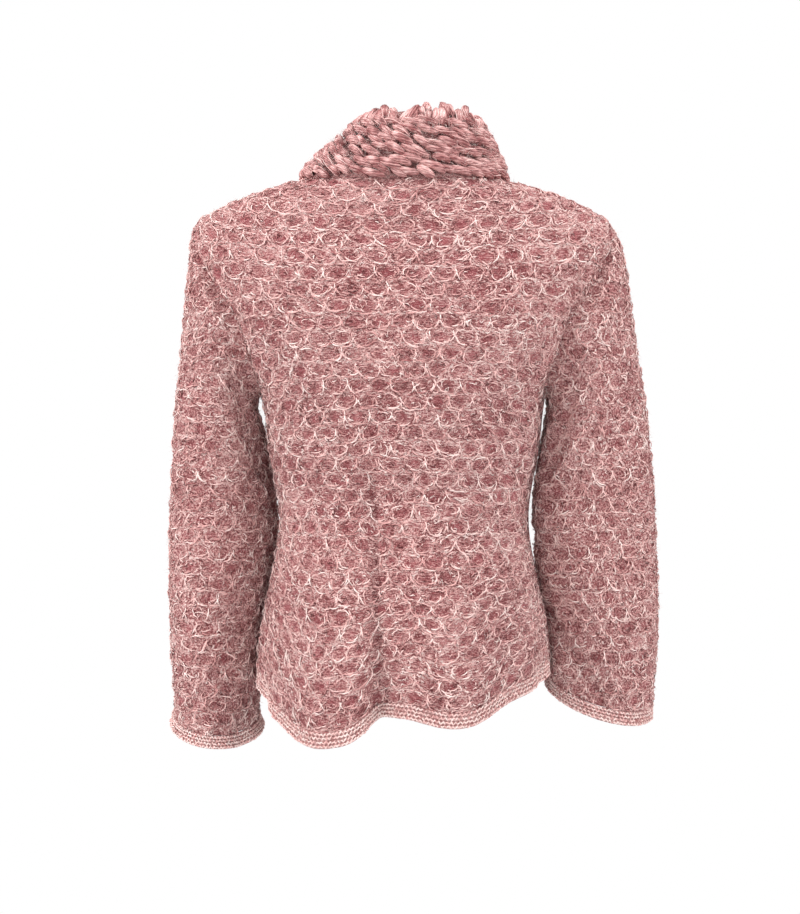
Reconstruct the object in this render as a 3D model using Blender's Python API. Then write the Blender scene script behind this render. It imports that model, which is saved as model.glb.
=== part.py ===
"""A woman's hip-length cardigan in thick honeycomb knit, hollow and buttoned, as when it is worn.

The cloth is built as walls. The torso is one smooth form, lofted through the table of body
sections, and each panel is the piece of it between two seams. A sleeve leaves its armhole
from the torso's own surface and then follows its table of rings. The collar is a funnel
covered with rows of thick yarn loops.

Frame: +Z is up, the front faces -Y, and +X is the wearer's left. The origin lies between the
shoulders, at the level of the collar's seam at the back. Angles go round the torso from the
centre back at 0 degrees, by the left side at 90, to the centre front at 180. Round a sleeve
they go from the outer edge at 0, by the back at 90, to the inner edge at 180. Levels are
lengths of cloth in metres: up the body from the hem, or down a sleeve from its armhole.
"""

import math
from collections import namedtuple

import bmesh
import bpy
import numpy as np
from mathutils import Matrix, Vector

CLOTH = 0.004
SEAM_GAP = 0.0003
RIDGE_HEIGHT = 0.0013
RIDGES = 2
SHARP_ANGLE = math.radians(50)

# Colours are linear red, green and blue.
KNIT_COLOUR = (0.50, 0.28, 0.27)
BORDER_COLOUR = (0.58, 0.35, 0.33)
LOOP_COLOUR = (0.44, 0.24, 0.23)
BUTTON_COLOUR = (0.15, 0.05, 0.06)
CLOTH_ROUGHNESS = 0.95
BUTTON_ROUGHNESS = 0.35

Section = namedtuple(
    "Section",
    "name level side_z back_z front_z half_width back_depth front_depth squareness",
)
BODY = (
    Section("hem", 0.000, -0.520, -0.520, -0.520, 0.147, 0.109, 0.108, 2.2),
    Section("hem seam", 0.015, -0.505, -0.505, -0.505, 0.147, 0.111, 0.110, 2.2),
    Section("hip", 0.068, -0.455, -0.455, -0.455, 0.143, 0.112, 0.112, 2.2),
    Section("upper hip", 0.127, -0.404, -0.404, -0.404, 0.134, 0.104, 0.108, 2.2),
    Section("waist", 0.202, -0.330, -0.330, -0.330, 0.125, 0.088, 0.101, 2.2),
    Section("ribs", 0.270, -0.262, -0.262, -0.258, 0.136, 0.093, 0.118, 2.3),
    Section("underarm", 0.333, -0.205, -0.200, -0.188, 0.144, 0.099, 0.130, 2.5),
    Section("across back", 0.408, -0.125, -0.125, -0.122, 0.184, 0.098, 0.116, 2.5),
    Section("shoulder", 0.479, -0.034, -0.052, -0.076, 0.208, 0.086, 0.088, 2.1),
    Section("mid shoulder", 0.512, -0.006, -0.020, -0.066, 0.152, 0.081, 0.082, 2.1),
    Section("neck", 0.536, 0.008, 0.000, -0.056, 0.101, 0.074, 0.080, 2.0),
)
LEVEL = {section.name: section.level for section in BODY}

# The hem isn't level. It dips at the flares of the back and rises at the sides, and this
# shape fades out up to the waist.
HemPoint = namedtuple("HemPoint", "angle z")
HEM = (
    HemPoint(-180, -0.522),
    HemPoint(-135, -0.531),
    HemPoint(-90, -0.492),
    HemPoint(-61, -0.500),
    HemPoint(-39, -0.512),
    HemPoint(-24, -0.527),
    HemPoint(-13, -0.529),
    HemPoint(0, -0.522),
    HemPoint(8, -0.526),
    HemPoint(17, -0.542),
    HemPoint(28, -0.549),
    HemPoint(40, -0.545),
    HemPoint(52, -0.534),
    HemPoint(90, -0.501),
    HemPoint(135, -0.534),
    HemPoint(180, -0.522),
)

# Each crease runs in a straight line over the cloth. Its depth is positive for a ridge, and
# changes evenly along the line. Its width is where it has fallen to a third.
Crease = namedtuple(
    "Crease",
    "name from_angle from_level to_angle to_level from_depth to_depth width",
)
BODY_CREASES = (
    Crease("centre back fold", 11, 0.245, 5, -0.02, -0.001, -0.014, 0.016),
    Crease("left back flare", 27, 0.150, 27, -0.02, 0.000, 0.009, 0.030),
    Crease("right back flare", -17, 0.120, -20, -0.02, 0.000, 0.006, 0.028),
    Crease("left side hollow", 76, 0.120, 68, -0.02, -0.001, -0.007, 0.014),
    Crease("right side hollow", -72, 0.110, -66, -0.02, -0.001, -0.005, 0.014),
    Crease("left blade hollow", 62, 0.390, 34, 0.290, -0.003, -0.001, 0.018),
    Crease("right blade hollow", -62, 0.395, -38, 0.300, -0.004, -0.001, 0.018),
    Crease("small of the back", 20, 0.215, -24, 0.225, -0.002, -0.002, 0.016),
    Crease("left front fold", 132, 0.300, 146, -0.02, -0.001, -0.010, 0.018),
    Crease("right front fold", -128, 0.310, -142, -0.02, -0.001, -0.009, 0.018),
    Crease("left front flare", 122, 0.130, 120, -0.02, 0.000, 0.004, 0.028),
    Crease("right front flare", -118, 0.130, -116, -0.02, 0.000, 0.004, 0.028),
)
BODY_MEAN_RADIUS = 0.12

# A sleeve's ring runs between its outer and its inner edge. Its depths are measured back
# and forward from the line between them, and its back lies lower than its front by the tilt.
Ring = namedtuple(
    "Ring",
    "name level outer_x outer_y outer_z inner_x inner_y inner_z back_depth front_depth tilt",
)
LEFT_RINGS = (
    Ring("cap", 0.045, 0.217, 0.002, -0.077, 0.150, -0.008, -0.225, 0.055, 0.060, 0.000),
    Ring("armpit", 0.100, 0.223, 0.001, -0.145, 0.143, -0.026, -0.250, 0.059, 0.060, 0.000),
    Ring("upper arm", 0.165, 0.230, 0.000, -0.215, 0.136, -0.036, -0.283, 0.062, 0.060, 0.000),
    Ring("over elbow", 0.235, 0.235, -0.003, -0.292, 0.131, -0.038, -0.325, 0.062, 0.059, 0.000),
    Ring("elbow", 0.300, 0.238, -0.006, -0.360, 0.132, -0.037, -0.374, 0.061, 0.056, 0.003),
    Ring("under elbow", 0.360, 0.238, -0.009, -0.420, 0.141, -0.033, -0.424, 0.058, 0.054, 0.006),
    Ring("forearm", 0.420, 0.237, -0.012, -0.475, 0.147, -0.032, -0.478, 0.055, 0.052, 0.009),
    Ring("wrist", 0.467, 0.234, -0.014, -0.517, 0.150, -0.031, -0.527, 0.052, 0.050, 0.012),
    Ring("cuff seam", 0.485, 0.235, -0.014, -0.531, 0.150, -0.030, -0.542, 0.052, 0.050, 0.014),
    Ring("cuff", 0.499, 0.237, -0.014, -0.543, 0.146, -0.028, -0.554, 0.053, 0.050, 0.015),
)
RIGHT_RINGS = (
    Ring("cap", 0.045, 0.226, 0.002, -0.077, 0.147, 0.000, -0.225, 0.052, 0.057, 0.000),
    Ring("armpit", 0.100, 0.235, 0.001, -0.145, 0.143, -0.002, -0.250, 0.051, 0.055, 0.000),
    Ring("upper arm", 0.165, 0.246, -0.001, -0.215, 0.137, -0.004, -0.283, 0.049, 0.051, 0.000),
    Ring("over elbow", 0.230, 0.254, -0.003, -0.285, 0.133, -0.007, -0.320, 0.047, 0.048, 0.000),
    Ring("elbow", 0.290, 0.258, -0.006, -0.350, 0.134, -0.010, -0.364, 0.046, 0.046, 0.002),
    Ring("under elbow", 0.350, 0.261, -0.010, -0.412, 0.141, -0.014, -0.412, 0.045, 0.045, 0.005),
    Ring("forearm", 0.405, 0.261, -0.014, -0.466, 0.148, -0.018, -0.455, 0.044, 0.044, 0.009),
    Ring("wrist", 0.450, 0.258, -0.017, -0.508, 0.151, -0.020, -0.484, 0.043, 0.043, 0.012),
    Ring("cuff seam", 0.466, 0.257, -0.018, -0.523, 0.151, -0.020, -0.497, 0.043, 0.043, 0.014),
    Ring("cuff", 0.480, 0.255, -0.018, -0.537, 0.149, -0.020, -0.508, 0.044, 0.043, 0.015),
)
LEFT_SLEEVE_CREASES = (
    Crease("back tuck", 118, 0.060, 148, 0.190, -0.002, -0.006, 0.014),
    Crease("front tuck", 238, 0.060, 212, 0.180, -0.002, -0.006, 0.014),
    Crease("elbow crease", 215, 0.290, 120, 0.315, -0.004, -0.001, 0.013),
    Crease("forearm crease", 60, 0.340, 130, 0.395, -0.001, -0.003, 0.014),
    Crease("cuff fold", 150, 0.420, 128, 0.510, -0.001, -0.006, 0.012),
)
RIGHT_SLEEVE_CREASES = (
    Crease("back tuck", 112, 0.055, 140, 0.170, -0.003, -0.007, 0.014),
    Crease("front tuck", 238, 0.060, 215, 0.170, -0.002, -0.006, 0.014),
    Crease("elbow crease", 200, 0.270, 110, 0.300, -0.004, -0.001, 0.013),
    Crease("upper arm crease", 50, 0.150, 120, 0.215, -0.001, -0.003, 0.015),
    Crease("cuff fold", 158, 0.375, 92, 0.465, -0.005, -0.003, 0.012),
)
SLEEVE_MEAN_RADIUS = 0.055

# The armhole swings this far back and forward from the side of the torso. The sleeve leaves
# it along the torso's surface at the shoulder, and straight outwards under the arm.
BACK_SWING = math.radians(24)
FRONT_SWING = math.radians(28)
SHOULDER_LEAD = 0.034
UNDERARM_LEAD = 0.012

CollarSection = namedtuple(
    "CollarSection",
    "name height centre_x side_z back_z front_z half_width back_depth front_depth",
)
COLLAR = (
    CollarSection("seam", 0.000, 0.000, 0.0093, 0.0012, -0.0548, 0.101, 0.074, 0.080),
    CollarSection("lower", 0.028, -0.006, 0.031, 0.026, -0.030, 0.088, 0.069, 0.077),
    CollarSection("upper", 0.056, -0.013, 0.053, 0.052, -0.003, 0.069, 0.059, 0.068),
    CollarSection("top", 0.074, -0.018, 0.066, 0.069, 0.016, 0.056, 0.050, 0.059),
)
COLLAR_OPENING = math.radians(7)
COLLAR_CLOTH = 0.003
LOOP_ROWS = 6
LOOPS_ROUND = 32
LOOP_HEIGHT = 0.0085
LOOP_SLANT = 0.7
SPIKE_ROWS = 0.16
SPIKE_RISE = 0.013

BAND_HALF_WIDTH = 0.016
BAND_TURN = math.radians(10)
OVERLAP_TURN = math.radians(24)
FRONT_LIFT = CLOTH + SEAM_GAP

BUTTON_COUNT = 5
BUTTON_SIDES = 16
BUTTON_LOWEST_Z = -0.484
BUTTON_HIGHEST_Z = -0.084
BUTTON_SEAT = RIDGE_HEIGHT + 2 * SEAM_GAP
HOLE_COUNT = 4
HOLE_SIDES = 6
HOLE_RADIUS = 0.0013
HOLE_SPREAD = 0.0030
# Each step of a button's outline, from its back to its dished front.
ButtonStep = namedtuple("ButtonStep", "radius height")
BUTTON_OUTLINE = (
    ButtonStep(0.0105, 0.0000),
    ButtonStep(0.0115, 0.0012),
    ButtonStep(0.0102, 0.0040),
    ButtonStep(0.0080, 0.0028),
)

BACK_COLUMNS = 28
FRONT_COLUMNS = 12
SKIRT_ROWS = 13
ARMHOLE_ROWS = 10
YOKE_ROWS = 4
CAP_ROWS = 4
SLEEVE_ROWS = 13
BORDER_ROWS = 4
BAND_ROWS = 36
LOOP_STEPS = 3
COLLAR_INNER_STEPS = (6, 6)


def spline(knots, values, at):
    """A smooth curve through the values at the knots, read at any places."""
    knots = np.asarray(knots, float)
    values = np.asarray(values, float)
    slopes = np.gradient(values, knots)
    i = np.clip(np.searchsorted(knots, at, side="right") - 1, 0, len(knots) - 2)
    step = knots[i + 1] - knots[i]
    t = (at - knots[i]) / step
    return (
        (2 * t**3 - 3 * t**2 + 1) * values[i]
        + (t**3 - 2 * t**2 + t) * step * slopes[i]
        + (3 * t**2 - 2 * t**3) * values[i + 1]
        + (t**3 - t**2) * step * slopes[i + 1]
    )


def columns_at(table, key, at):
    """Every numeric column of a table, read smoothly at places of its key column."""
    knots = [getattr(row, key) for row in table]
    names = [name for name in table[0]._fields if name not in ("name", key)]
    values = [spline(knots, [getattr(row, name) for row in table], at) for name in names]
    return namedtuple("Columns", names)(*values)


def smooth_step(value):
    """0 up to 0, 1 from 1 on, and smooth between them."""
    t = np.clip(value, 0, 1)
    return t * t * (3 - 2 * t)


def signed_power(value, power):
    """The power of a value's size, with the value's own sign."""
    return np.sign(value) * np.abs(value) ** power


def unit(vectors):
    """Vectors brought to length 1."""
    return vectors / np.linalg.norm(vectors, axis=-1, keepdims=True)


def turned(angle):
    """An angle in radians brought to between half a turn back and half a turn on."""
    return (angle + math.pi) % (2 * math.pi) - math.pi


def hem_z(angle):
    """The height of the hem's edge at an angle round the body."""
    return spline([math.radians(p.angle) for p in HEM], [p.z for p in HEM], turned(angle))


def crease_depth(creases, mean_radius, angle, level):
    """How far the creases lift the cloth, or sink it, at each place."""
    depth = np.zeros(np.broadcast(angle, level).shape)
    for crease in creases:
        start = math.radians(crease.from_angle)
        along = turned(math.radians(crease.to_angle) - start) * mean_radius
        up = crease.to_level - crease.from_level
        across = turned(angle - start) * mean_radius
        rise = level - crease.from_level
        share = np.clip((across * along + rise * up) / (along**2 + up**2), 0, 1)
        away = (across - share * along) ** 2 + (rise - share * up) ** 2
        height = crease.from_depth + share * (crease.to_depth - crease.from_depth)
        depth = depth + height * np.exp(-away / crease.width**2)
    return depth


def normals(surface, angle, level, step=2e-4):
    """The outward directions of a surface, from small steps along it."""
    around = surface(angle + step, level) - surface(angle - step, level)
    along = surface(angle, level + step) - surface(angle, level - step)
    return unit(np.cross(along, around))


def oval(angle, half_width, back_depth, front_depth, squareness=2.0):
    """Points round a closed oval that may be deeper in front than behind."""
    depth = np.where(np.cos(angle) > 0, back_depth, front_depth)
    power = 2 / squareness
    across = half_width * signed_power(np.sin(angle), power)
    return across, depth * signed_power(np.cos(angle), power)


def tilted_z(angle, side_z, back_z, front_z):
    """The height round an oval whose back and front lie lower than its sides."""
    end_z = np.where(np.cos(angle) > 0, back_z, front_z)
    return side_z + (end_z - side_z) * np.cos(angle) ** 2


def smooth_torso(angle, level):
    """The torso's outer surface before it is creased."""
    angle, level = np.broadcast_arrays(angle, level)
    s = columns_at(BODY, "level", level)
    x, y = oval(angle, s.half_width, s.back_depth, s.front_depth, s.squareness)
    fade = 1 - smooth_step(level / LEVEL["waist"])
    hem_shape = (hem_z(angle) - BODY[0].side_z) * fade
    z = tilted_z(angle, s.side_z, s.back_z, s.front_z) + hem_shape
    return np.stack([x, y, z], axis=-1)


def torso(angle, level, lift=0.0):
    """The torso's outer surface with its creases, moved out by the lift."""
    depth = crease_depth(BODY_CREASES, BODY_MEAN_RADIUS, angle, level) + lift
    return smooth_torso(angle, level) + depth[..., None] * normals(smooth_torso, angle, level)


def right_torso(angle, level):
    """The surface of the right front, which rises towards its band to lie over the left."""
    from_centre = math.pi - np.abs(turned(angle))
    lift = FRONT_LIFT * smooth_step(1 - (from_centre - BAND_TURN) / OVERLAP_TURN)
    return torso(angle, level, lift)


def top_torso(angle, level):
    """The surface of the right band, which lies over the left one."""
    return torso(angle, level, FRONT_LIFT)


def armhole_edge(share, swing):
    """The armhole's angle and level at a share of its height from the underarm up."""
    height = LEVEL["shoulder"] - LEVEL["underarm"]
    angle = math.pi / 2 - swing * np.sqrt(np.sin(math.pi * np.clip(share, 0, 1)))
    return angle, LEVEL["underarm"] + share * height


def panel_levels():
    """The levels of a body panel's rows, from the hem border's seam to the collar's."""
    share = (1 - np.cos(np.linspace(0, math.pi, ARMHOLE_ROWS + 1))) / 2
    armhole = armhole_edge(share, 0)[1]
    skirt = np.linspace(LEVEL["hem seam"] + SEAM_GAP, armhole[0], SKIRT_ROWS + 1)
    yoke = np.linspace(armhole[-1], LEVEL["neck"], YOKE_ROWS + 1)
    return np.concatenate([skirt[:-1], armhole, yoke[1:]])


def border_levels():
    """The levels of a hem border's rows."""
    return np.linspace(LEVEL["hem"], LEVEL["hem seam"], BORDER_ROWS + 1)


def panel_edge(levels, swing):
    """The angle of a panel's side seam, armhole and shoulder seam, seen from its middle."""
    share = (levels - LEVEL["underarm"]) / (LEVEL["shoulder"] - LEVEL["underarm"])
    s = columns_at(BODY, "level", levels)
    half_gap = (SEAM_GAP / 2 / s.back_depth) ** (s.squareness / 2)
    return armhole_edge(share, swing)[0] - half_gap


def centre_turn(levels, x):
    """How far round from the centre front a place lies that is x to the side of it."""
    s = columns_at(BODY, "level", levels)
    return np.arcsin((x / s.half_width) ** (s.squareness / 2))


def spread(first, last, levels, columns):
    """Angles and levels of a grid whose rows run from one edge to the other."""
    share = np.linspace(0, 1, columns + 1)
    angles = first[:, None] + (last - first)[:, None] * share
    return angles, np.repeat(levels[:, None], columns + 1, axis=1)


def ridges(share):
    """The relief of a garter border, over the share of its width."""
    return RIDGE_HEIGHT * np.sin(math.pi * RIDGES * share) ** 2


def two_sides(surface, angles, levels, relief=0.0, thickness=CLOTH):
    """Outer and inner points of a wall. The relief is raised on the outside only."""
    points = surface(angles, levels)
    out = normals(surface, angles, levels)
    return points + np.multiply(relief, 1.0)[..., None] * out, points - thickness * out


def side_faces(mesh, points, around):
    """One side of a wall, as rows of vertices with faces between them."""
    rows = [[mesh.verts.new(point) for point in row] for row in points]
    if around:
        rows = [row + row[:1] for row in rows]
    for low, high in zip(rows, rows[1:]):
        for i in range(len(low) - 1):
            mesh.faces.new((low[i], low[i + 1], high[i + 1], high[i]))
    return rows


def rim_faces(mesh, outer_rim, inner_rim, step):
    """The faces of one rim. The outer side has step points to each of the inner side's."""
    for i in range(len(inner_rim) - 1):
        part = list(outer_rim[i * step : (i + 1) * step + 1])
        mesh.faces.new(part + [inner_rim[i + 1], inner_rim[i]])


def wall(name, colour, outer, inner, around=False, steps=(1, 1)):
    """A closed wall between two grids of points. Around joins its last column to its first.

    The inner grid may be coarser, by the steps along its columns and its rows.
    """
    mesh = bmesh.new()
    outside = side_faces(mesh, outer, around)
    inside = side_faces(mesh, inner, around)
    for end in (0, -1):
        rim_faces(mesh, outside[end], inside[end], steps[1])
        if not around:
            outer_side = [row[end] for row in outside]
            rim_faces(mesh, outer_side, [row[end] for row in inside], steps[0])
    return finished(name, colour, CLOTH_ROUGHNESS, mesh)


def finished(name, colour, roughness, mesh):
    """A named object from a bmesh, with its own material, smooth except at sharp edges."""
    bmesh.ops.recalc_face_normals(mesh, faces=mesh.faces)
    data = bpy.data.meshes.new(name)
    mesh.to_mesh(data)
    mesh.free()
    data.shade_smooth()
    data.set_sharp_from_angle(angle=SHARP_ANGLE)
    material = bpy.data.materials.new(name)
    material.use_nodes = True
    shader = material.node_tree.nodes["Principled BSDF"]
    shader.inputs["Base Color"].default_value = (*colour, 1)
    shader.inputs["Roughness"].default_value = roughness
    shader.inputs["Metallic"].default_value = 0
    data.materials.append(material)
    piece = bpy.data.objects.new(name, data)
    bpy.context.scene.collection.objects.link(piece)
    return piece


def build_back():
    """The back in one piece, and the garter border along its hem."""
    levels = panel_levels()
    edge = panel_edge(levels, BACK_SWING)
    angles, rows = spread(-edge, edge, levels, BACK_COLUMNS)
    wall("back", KNIT_COLOUR, *two_sides(torso, angles, rows))
    levels = border_levels()
    edge = panel_edge(levels, 0)
    angles, rows = spread(-edge, edge, levels, BACK_COLUMNS)
    relief = ridges(rows / LEVEL["hem seam"])
    wall("hem_border_back", BORDER_COLOUR, *two_sides(torso, angles, rows, relief))


def build_front(side, sign, surface):
    """One front and the garter border along its hem, as far as the band's seam."""
    levels = panel_levels()
    edge = math.pi - panel_edge(levels, FRONT_SWING)
    band = math.pi - centre_turn(levels, BAND_HALF_WIDTH + SEAM_GAP)
    angles, rows = spread(sign * edge, sign * band, levels, FRONT_COLUMNS)
    wall(f"{side}_front", KNIT_COLOUR, *two_sides(surface, angles, rows))
    levels = border_levels()
    edge = math.pi - panel_edge(levels, 0)
    band = math.pi - centre_turn(levels, BAND_HALF_WIDTH + SEAM_GAP)
    angles, rows = spread(sign * edge, sign * band, levels, FRONT_COLUMNS)
    relief = ridges(rows / LEVEL["hem seam"])
    outer, inner = two_sides(surface, angles, rows, relief)
    wall(f"hem_border_{side}_front", BORDER_COLOUR, outer, inner)


def build_front_band(side, surface, ridged):
    """One of the two bands that close the front. Ridges run along the one that shows."""
    levels = np.linspace(LEVEL["hem"], LEVEL["neck"] - SEAM_GAP, BAND_ROWS + 1)
    turn = centre_turn(levels, BAND_HALF_WIDTH)
    angles, rows = spread(math.pi - turn, math.pi + turn, levels, BORDER_ROWS)
    share = np.broadcast_to(np.linspace(0, 1, BORDER_ROWS + 1), angles.shape)
    outer, inner = two_sides(surface, angles, rows, ridged * ridges(share))
    wall(f"{side}_front_band", BORDER_COLOUR, outer, inner)


class Sleeve:
    """A sleeve: from its armhole, over the cap, and down its rings to the cuff."""

    def __init__(self, side, sign, rings, creases):
        self.side = side
        self.sign = sign
        self.rings = rings
        self.creases = creases
        self.cap = rings[0].level

    def armhole(self, angle):
        """The start of the sleeve at its armhole, and how it sets out from there."""
        share = (1 + np.cos(angle)) / 2
        swing = np.where(np.sin(angle) >= 0, BACK_SWING, -FRONT_SWING)
        turn, level = armhole_edge(share, swing)
        mirror = (self.sign, 1, 1)
        start = torso(self.sign * turn, level) * mirror
        out = normals(torso, self.sign * turn, level) * mirror
        middle = smooth_torso(np.array(math.pi / 2), np.array(armhole_edge(0.5, 0)[1]))
        inwards = middle - start
        inwards = unit(inwards - (inwards * out).sum(-1, keepdims=True) * out)
        flat = smooth_step((share - 0.1) / 0.85)[..., None]
        leaving = unit(flat * inwards + (1 - flat) * out)
        lead = UNDERARM_LEAD + (SHOULDER_LEAD - UNDERARM_LEAD) * share[..., None]
        return start + SEAM_GAP * inwards, lead * leaving

    def below_cap(self, angle, level):
        """The rings from the cap down."""
        s = columns_at(self.rings, "level", level)
        across = (1 + np.cos(angle)) / 2
        depth = np.where(np.sin(angle) >= 0, s.back_depth, s.front_depth)
        inner = np.stack([s.inner_x, s.inner_y, s.inner_z], axis=-1)
        outer = np.stack([s.outer_x, s.outer_y, s.outer_z], axis=-1)
        points = inner + (outer - inner) * across[..., None]
        points[..., 1] += depth * np.sin(angle)
        points[..., 2] -= s.tilt * np.sin(angle)
        return points

    def smooth(self, angle, level):
        """The whole sleeve before it is creased, on the left side."""
        angle, level = np.broadcast_arrays(angle, level)
        t = np.clip(level / self.cap, 0, 1)[..., None]
        start, leaving = self.armhole(angle)
        end = self.below_cap(angle, np.full(angle.shape, self.cap))
        later = self.below_cap(angle, np.full(angle.shape, self.cap + 0.002))
        arriving = (later - end) / 0.002 * self.cap
        over_cap = (
            (2 * t**3 - 3 * t**2 + 1) * start
            + (t**3 - 2 * t**2 + t) * leaving
            + (3 * t**2 - 2 * t**3) * end
            + (t**3 - t**2) * arriving
        )
        below = self.below_cap(angle, np.maximum(level, self.cap))
        return np.where((level < self.cap)[..., None], over_cap, below)

    def creased(self, angle, level):
        """The whole sleeve with its creases, on the left side."""
        depth = crease_depth(self.creases, SLEEVE_MEAN_RADIUS, angle, level)
        fade = smooth_step(level / self.cap - 0.5)
        out = normals(self.smooth, angle, np.maximum(level, 0.001))
        return self.smooth(angle, level) + (depth * fade)[..., None] * out

    def tube(self, name, colour, levels, ridged=0):
        """A length of the sleeve as a closed wall, mirrored to its own side."""
        around = np.linspace(0, 2 * math.pi, 2 * ARMHOLE_ROWS, endpoint=False)
        angles, rows = np.meshgrid(around, levels)
        share = (rows - levels[0]) / (levels[-1] - levels[0])
        outer, inner = two_sides(self.creased, angles, rows, ridged * ridges(share))
        mirror = (self.sign, 1, 1)
        wall(name, colour, outer * mirror, inner * mirror, around=True)

    def build(self):
        """The sleeve, and the garter border at its cuff."""
        cuff, seam = self.rings[-1].level, self.rings[-2].level
        over_cap = np.linspace(0, self.cap, CAP_ROWS + 1)[:-1]
        down = np.linspace(self.cap, seam, SLEEVE_ROWS + 1)
        self.tube(f"{self.side}_sleeve", KNIT_COLOUR, np.concatenate([over_cap, down]))
        border = np.linspace(seam + SEAM_GAP, cuff, BORDER_ROWS + 1)
        self.tube(f"cuff_border_{self.side}", BORDER_COLOUR, border, ridged=1)


def collar_surface(angle, height):
    """The collar's wall under its loops, a funnel that narrows upwards."""
    angle, height = np.broadcast_arrays(angle, height)
    s = columns_at(COLLAR, "height", height)
    x, y = oval(angle, s.half_width, s.back_depth, s.front_depth)
    z = tilted_z(angle, s.side_z, s.back_z, s.front_z)
    return np.stack([s.centre_x + x, y, z], axis=-1)


def loop_relief(around, up):
    """The rows of slanting yarn loops that cover the collar, over shares of its size."""
    row = up * LOOP_ROWS
    along = around * LOOPS_ROUND + row * LOOP_SLANT
    rope = np.abs(np.sin(math.pi * row)) ** 0.6
    loop = 0.45 + 0.55 * np.abs(np.sin(math.pi * along))
    return LOOP_HEIGHT * (0.25 + 0.75 * rope * loop)


def build_collar():
    """The collar, with its loops raised on the outside and a plain inside."""
    edge = math.pi - COLLAR_OPENING
    share_around = np.linspace(0, 1, LOOPS_ROUND * LOOP_STEPS + 1)
    share_up = np.linspace(0, 1, LOOP_ROWS * LOOP_STEPS + 1)
    around, up = np.meshgrid(share_around, share_up)
    angles = edge * (2 * around - 1)
    heights = up * COLLAR[-1].height
    outer, inner = two_sides(
        collar_surface, angles, heights, loop_relief(around, up), COLLAR_CLOTH
    )
    spikes = 0.5 + 0.5 * np.sin(math.pi * LOOPS_ROUND * around)
    outer[..., 2] += SPIKE_RISE * smooth_step(1 + (up - 1) / SPIKE_ROWS) * spikes
    row_step, column_step = COLLAR_INNER_STEPS
    inner = inner[::row_step, ::column_step]
    wall("collar", LOOP_COLOUR, outer, inner, steps=COLLAR_INNER_STEPS)


def circle(mesh, centre, radius, height, sides):
    """A ring of vertices at a height, and the edges between them."""
    turns = [2 * math.pi * i / sides for i in range(sides)]
    verts = [
        mesh.verts.new(
            (centre[0] + radius * math.cos(turn), centre[1] + radius * math.sin(turn), height)
        )
        for turn in turns
    ]
    return verts, [mesh.edges.new((verts[i - 1], verts[i])) for i in range(sides)]


def bridge(mesh, low, high):
    """Faces between two rings with the same number of vertices."""
    for i in range(len(low)):
        mesh.faces.new((low[i - 1], low[i], high[i], high[i - 1]))


def button_place(z):
    """Where a button sits on the right band at a height, and the way it faces.

    The band bends, so the button is seated clear of the highest place under it.
    """
    level = np.interp(z, [row.front_z for row in BODY], [row.level for row in BODY])
    levels = level + np.linspace(-0.05, 0.05, 41)
    under = top_torso(np.full(levels.shape, math.pi), levels)
    middle = under[len(under) // 2]
    out = normals(top_torso, np.array([math.pi]), np.array([level]))[0]
    near = np.linalg.norm(under - middle, axis=1) < 1.4 * BUTTON_OUTLINE[1].radius
    seat = BUTTON_SEAT + np.max((under[near] - middle) @ out)
    return Vector(middle + seat * out), Vector(out).to_track_quat("Z", "Y")


def build_button(number, z):
    """A round button with a dished front and four holes, on the right band."""
    mesh = bmesh.new()
    rings = [circle(mesh, (0, 0), *step, BUTTON_SIDES) for step in BUTTON_OUTLINE]
    for low, high in zip(rings, rings[1:]):
        bridge(mesh, low[0], high[0])
    back_edges, front_edges = list(rings[0][1]), list(rings[-1][1])
    for i in range(HOLE_COUNT):
        turn = 2 * math.pi * (i + 0.5) / HOLE_COUNT
        centre = (HOLE_SPREAD * math.cos(turn), HOLE_SPREAD * math.sin(turn))
        back = circle(mesh, centre, HOLE_RADIUS, BUTTON_OUTLINE[0].height, HOLE_SIDES)
        front = circle(mesh, centre, HOLE_RADIUS, BUTTON_OUTLINE[-1].height, HOLE_SIDES)
        bridge(mesh, back[0], front[0])
        back_edges += back[1]
        front_edges += front[1]
    bmesh.ops.triangle_fill(mesh, edges=back_edges, use_beauty=True)
    bmesh.ops.triangle_fill(mesh, edges=front_edges, use_beauty=True)
    button = finished(f"button_{number}", BUTTON_COLOUR, BUTTON_ROUGHNESS, mesh)
    seat, turn = button_place(z)
    button.matrix_world = Matrix.LocRotScale(seat, turn, None)


def main():
    """Build every piece of the cardigan in an empty scene."""
    for leftover in list(bpy.data.objects):
        bpy.data.objects.remove(leftover, do_unlink=True)
    build_back()
    build_front("left", 1, torso)
    build_front("right", -1, right_torso)
    build_front_band("left", torso, ridged=0)
    build_front_band("right", top_torso, ridged=1)
    Sleeve("left", 1, LEFT_RINGS, LEFT_SLEEVE_CREASES).build()
    Sleeve("right", -1, RIGHT_RINGS, RIGHT_SLEEVE_CREASES).build()
    build_collar()
    for number, z in enumerate(np.linspace(BUTTON_LOWEST_Z, BUTTON_HIGHEST_Z, BUTTON_COUNT)):
        build_button(number + 1, z)
    bpy.context.view_layer.update()


main()
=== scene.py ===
"""Dresses the knitted cardigan: honeycomb cloth, garter borders, yarn loops and buttons.

Each cloth piece is a thin shell on the form of its CAD solid. Its outside carries the folds
and the relief of the stitches, and its UV map counts stitches, so the knit follows the cloth.
Angles, levels and the tables are those of the CAD source: angles go round the torso from the
centre back at 0 degrees, by the left side at 90, to the centre front at 180, and levels are
lengths of cloth in metres.
"""

import logging
import math
from dataclasses import dataclass, field
from enum import Enum
from functools import partial
from typing import Callable, NamedTuple, Sequence, Union

import bmesh
import bpy
import numpy as np
from mathutils import Matrix, Vector


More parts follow.
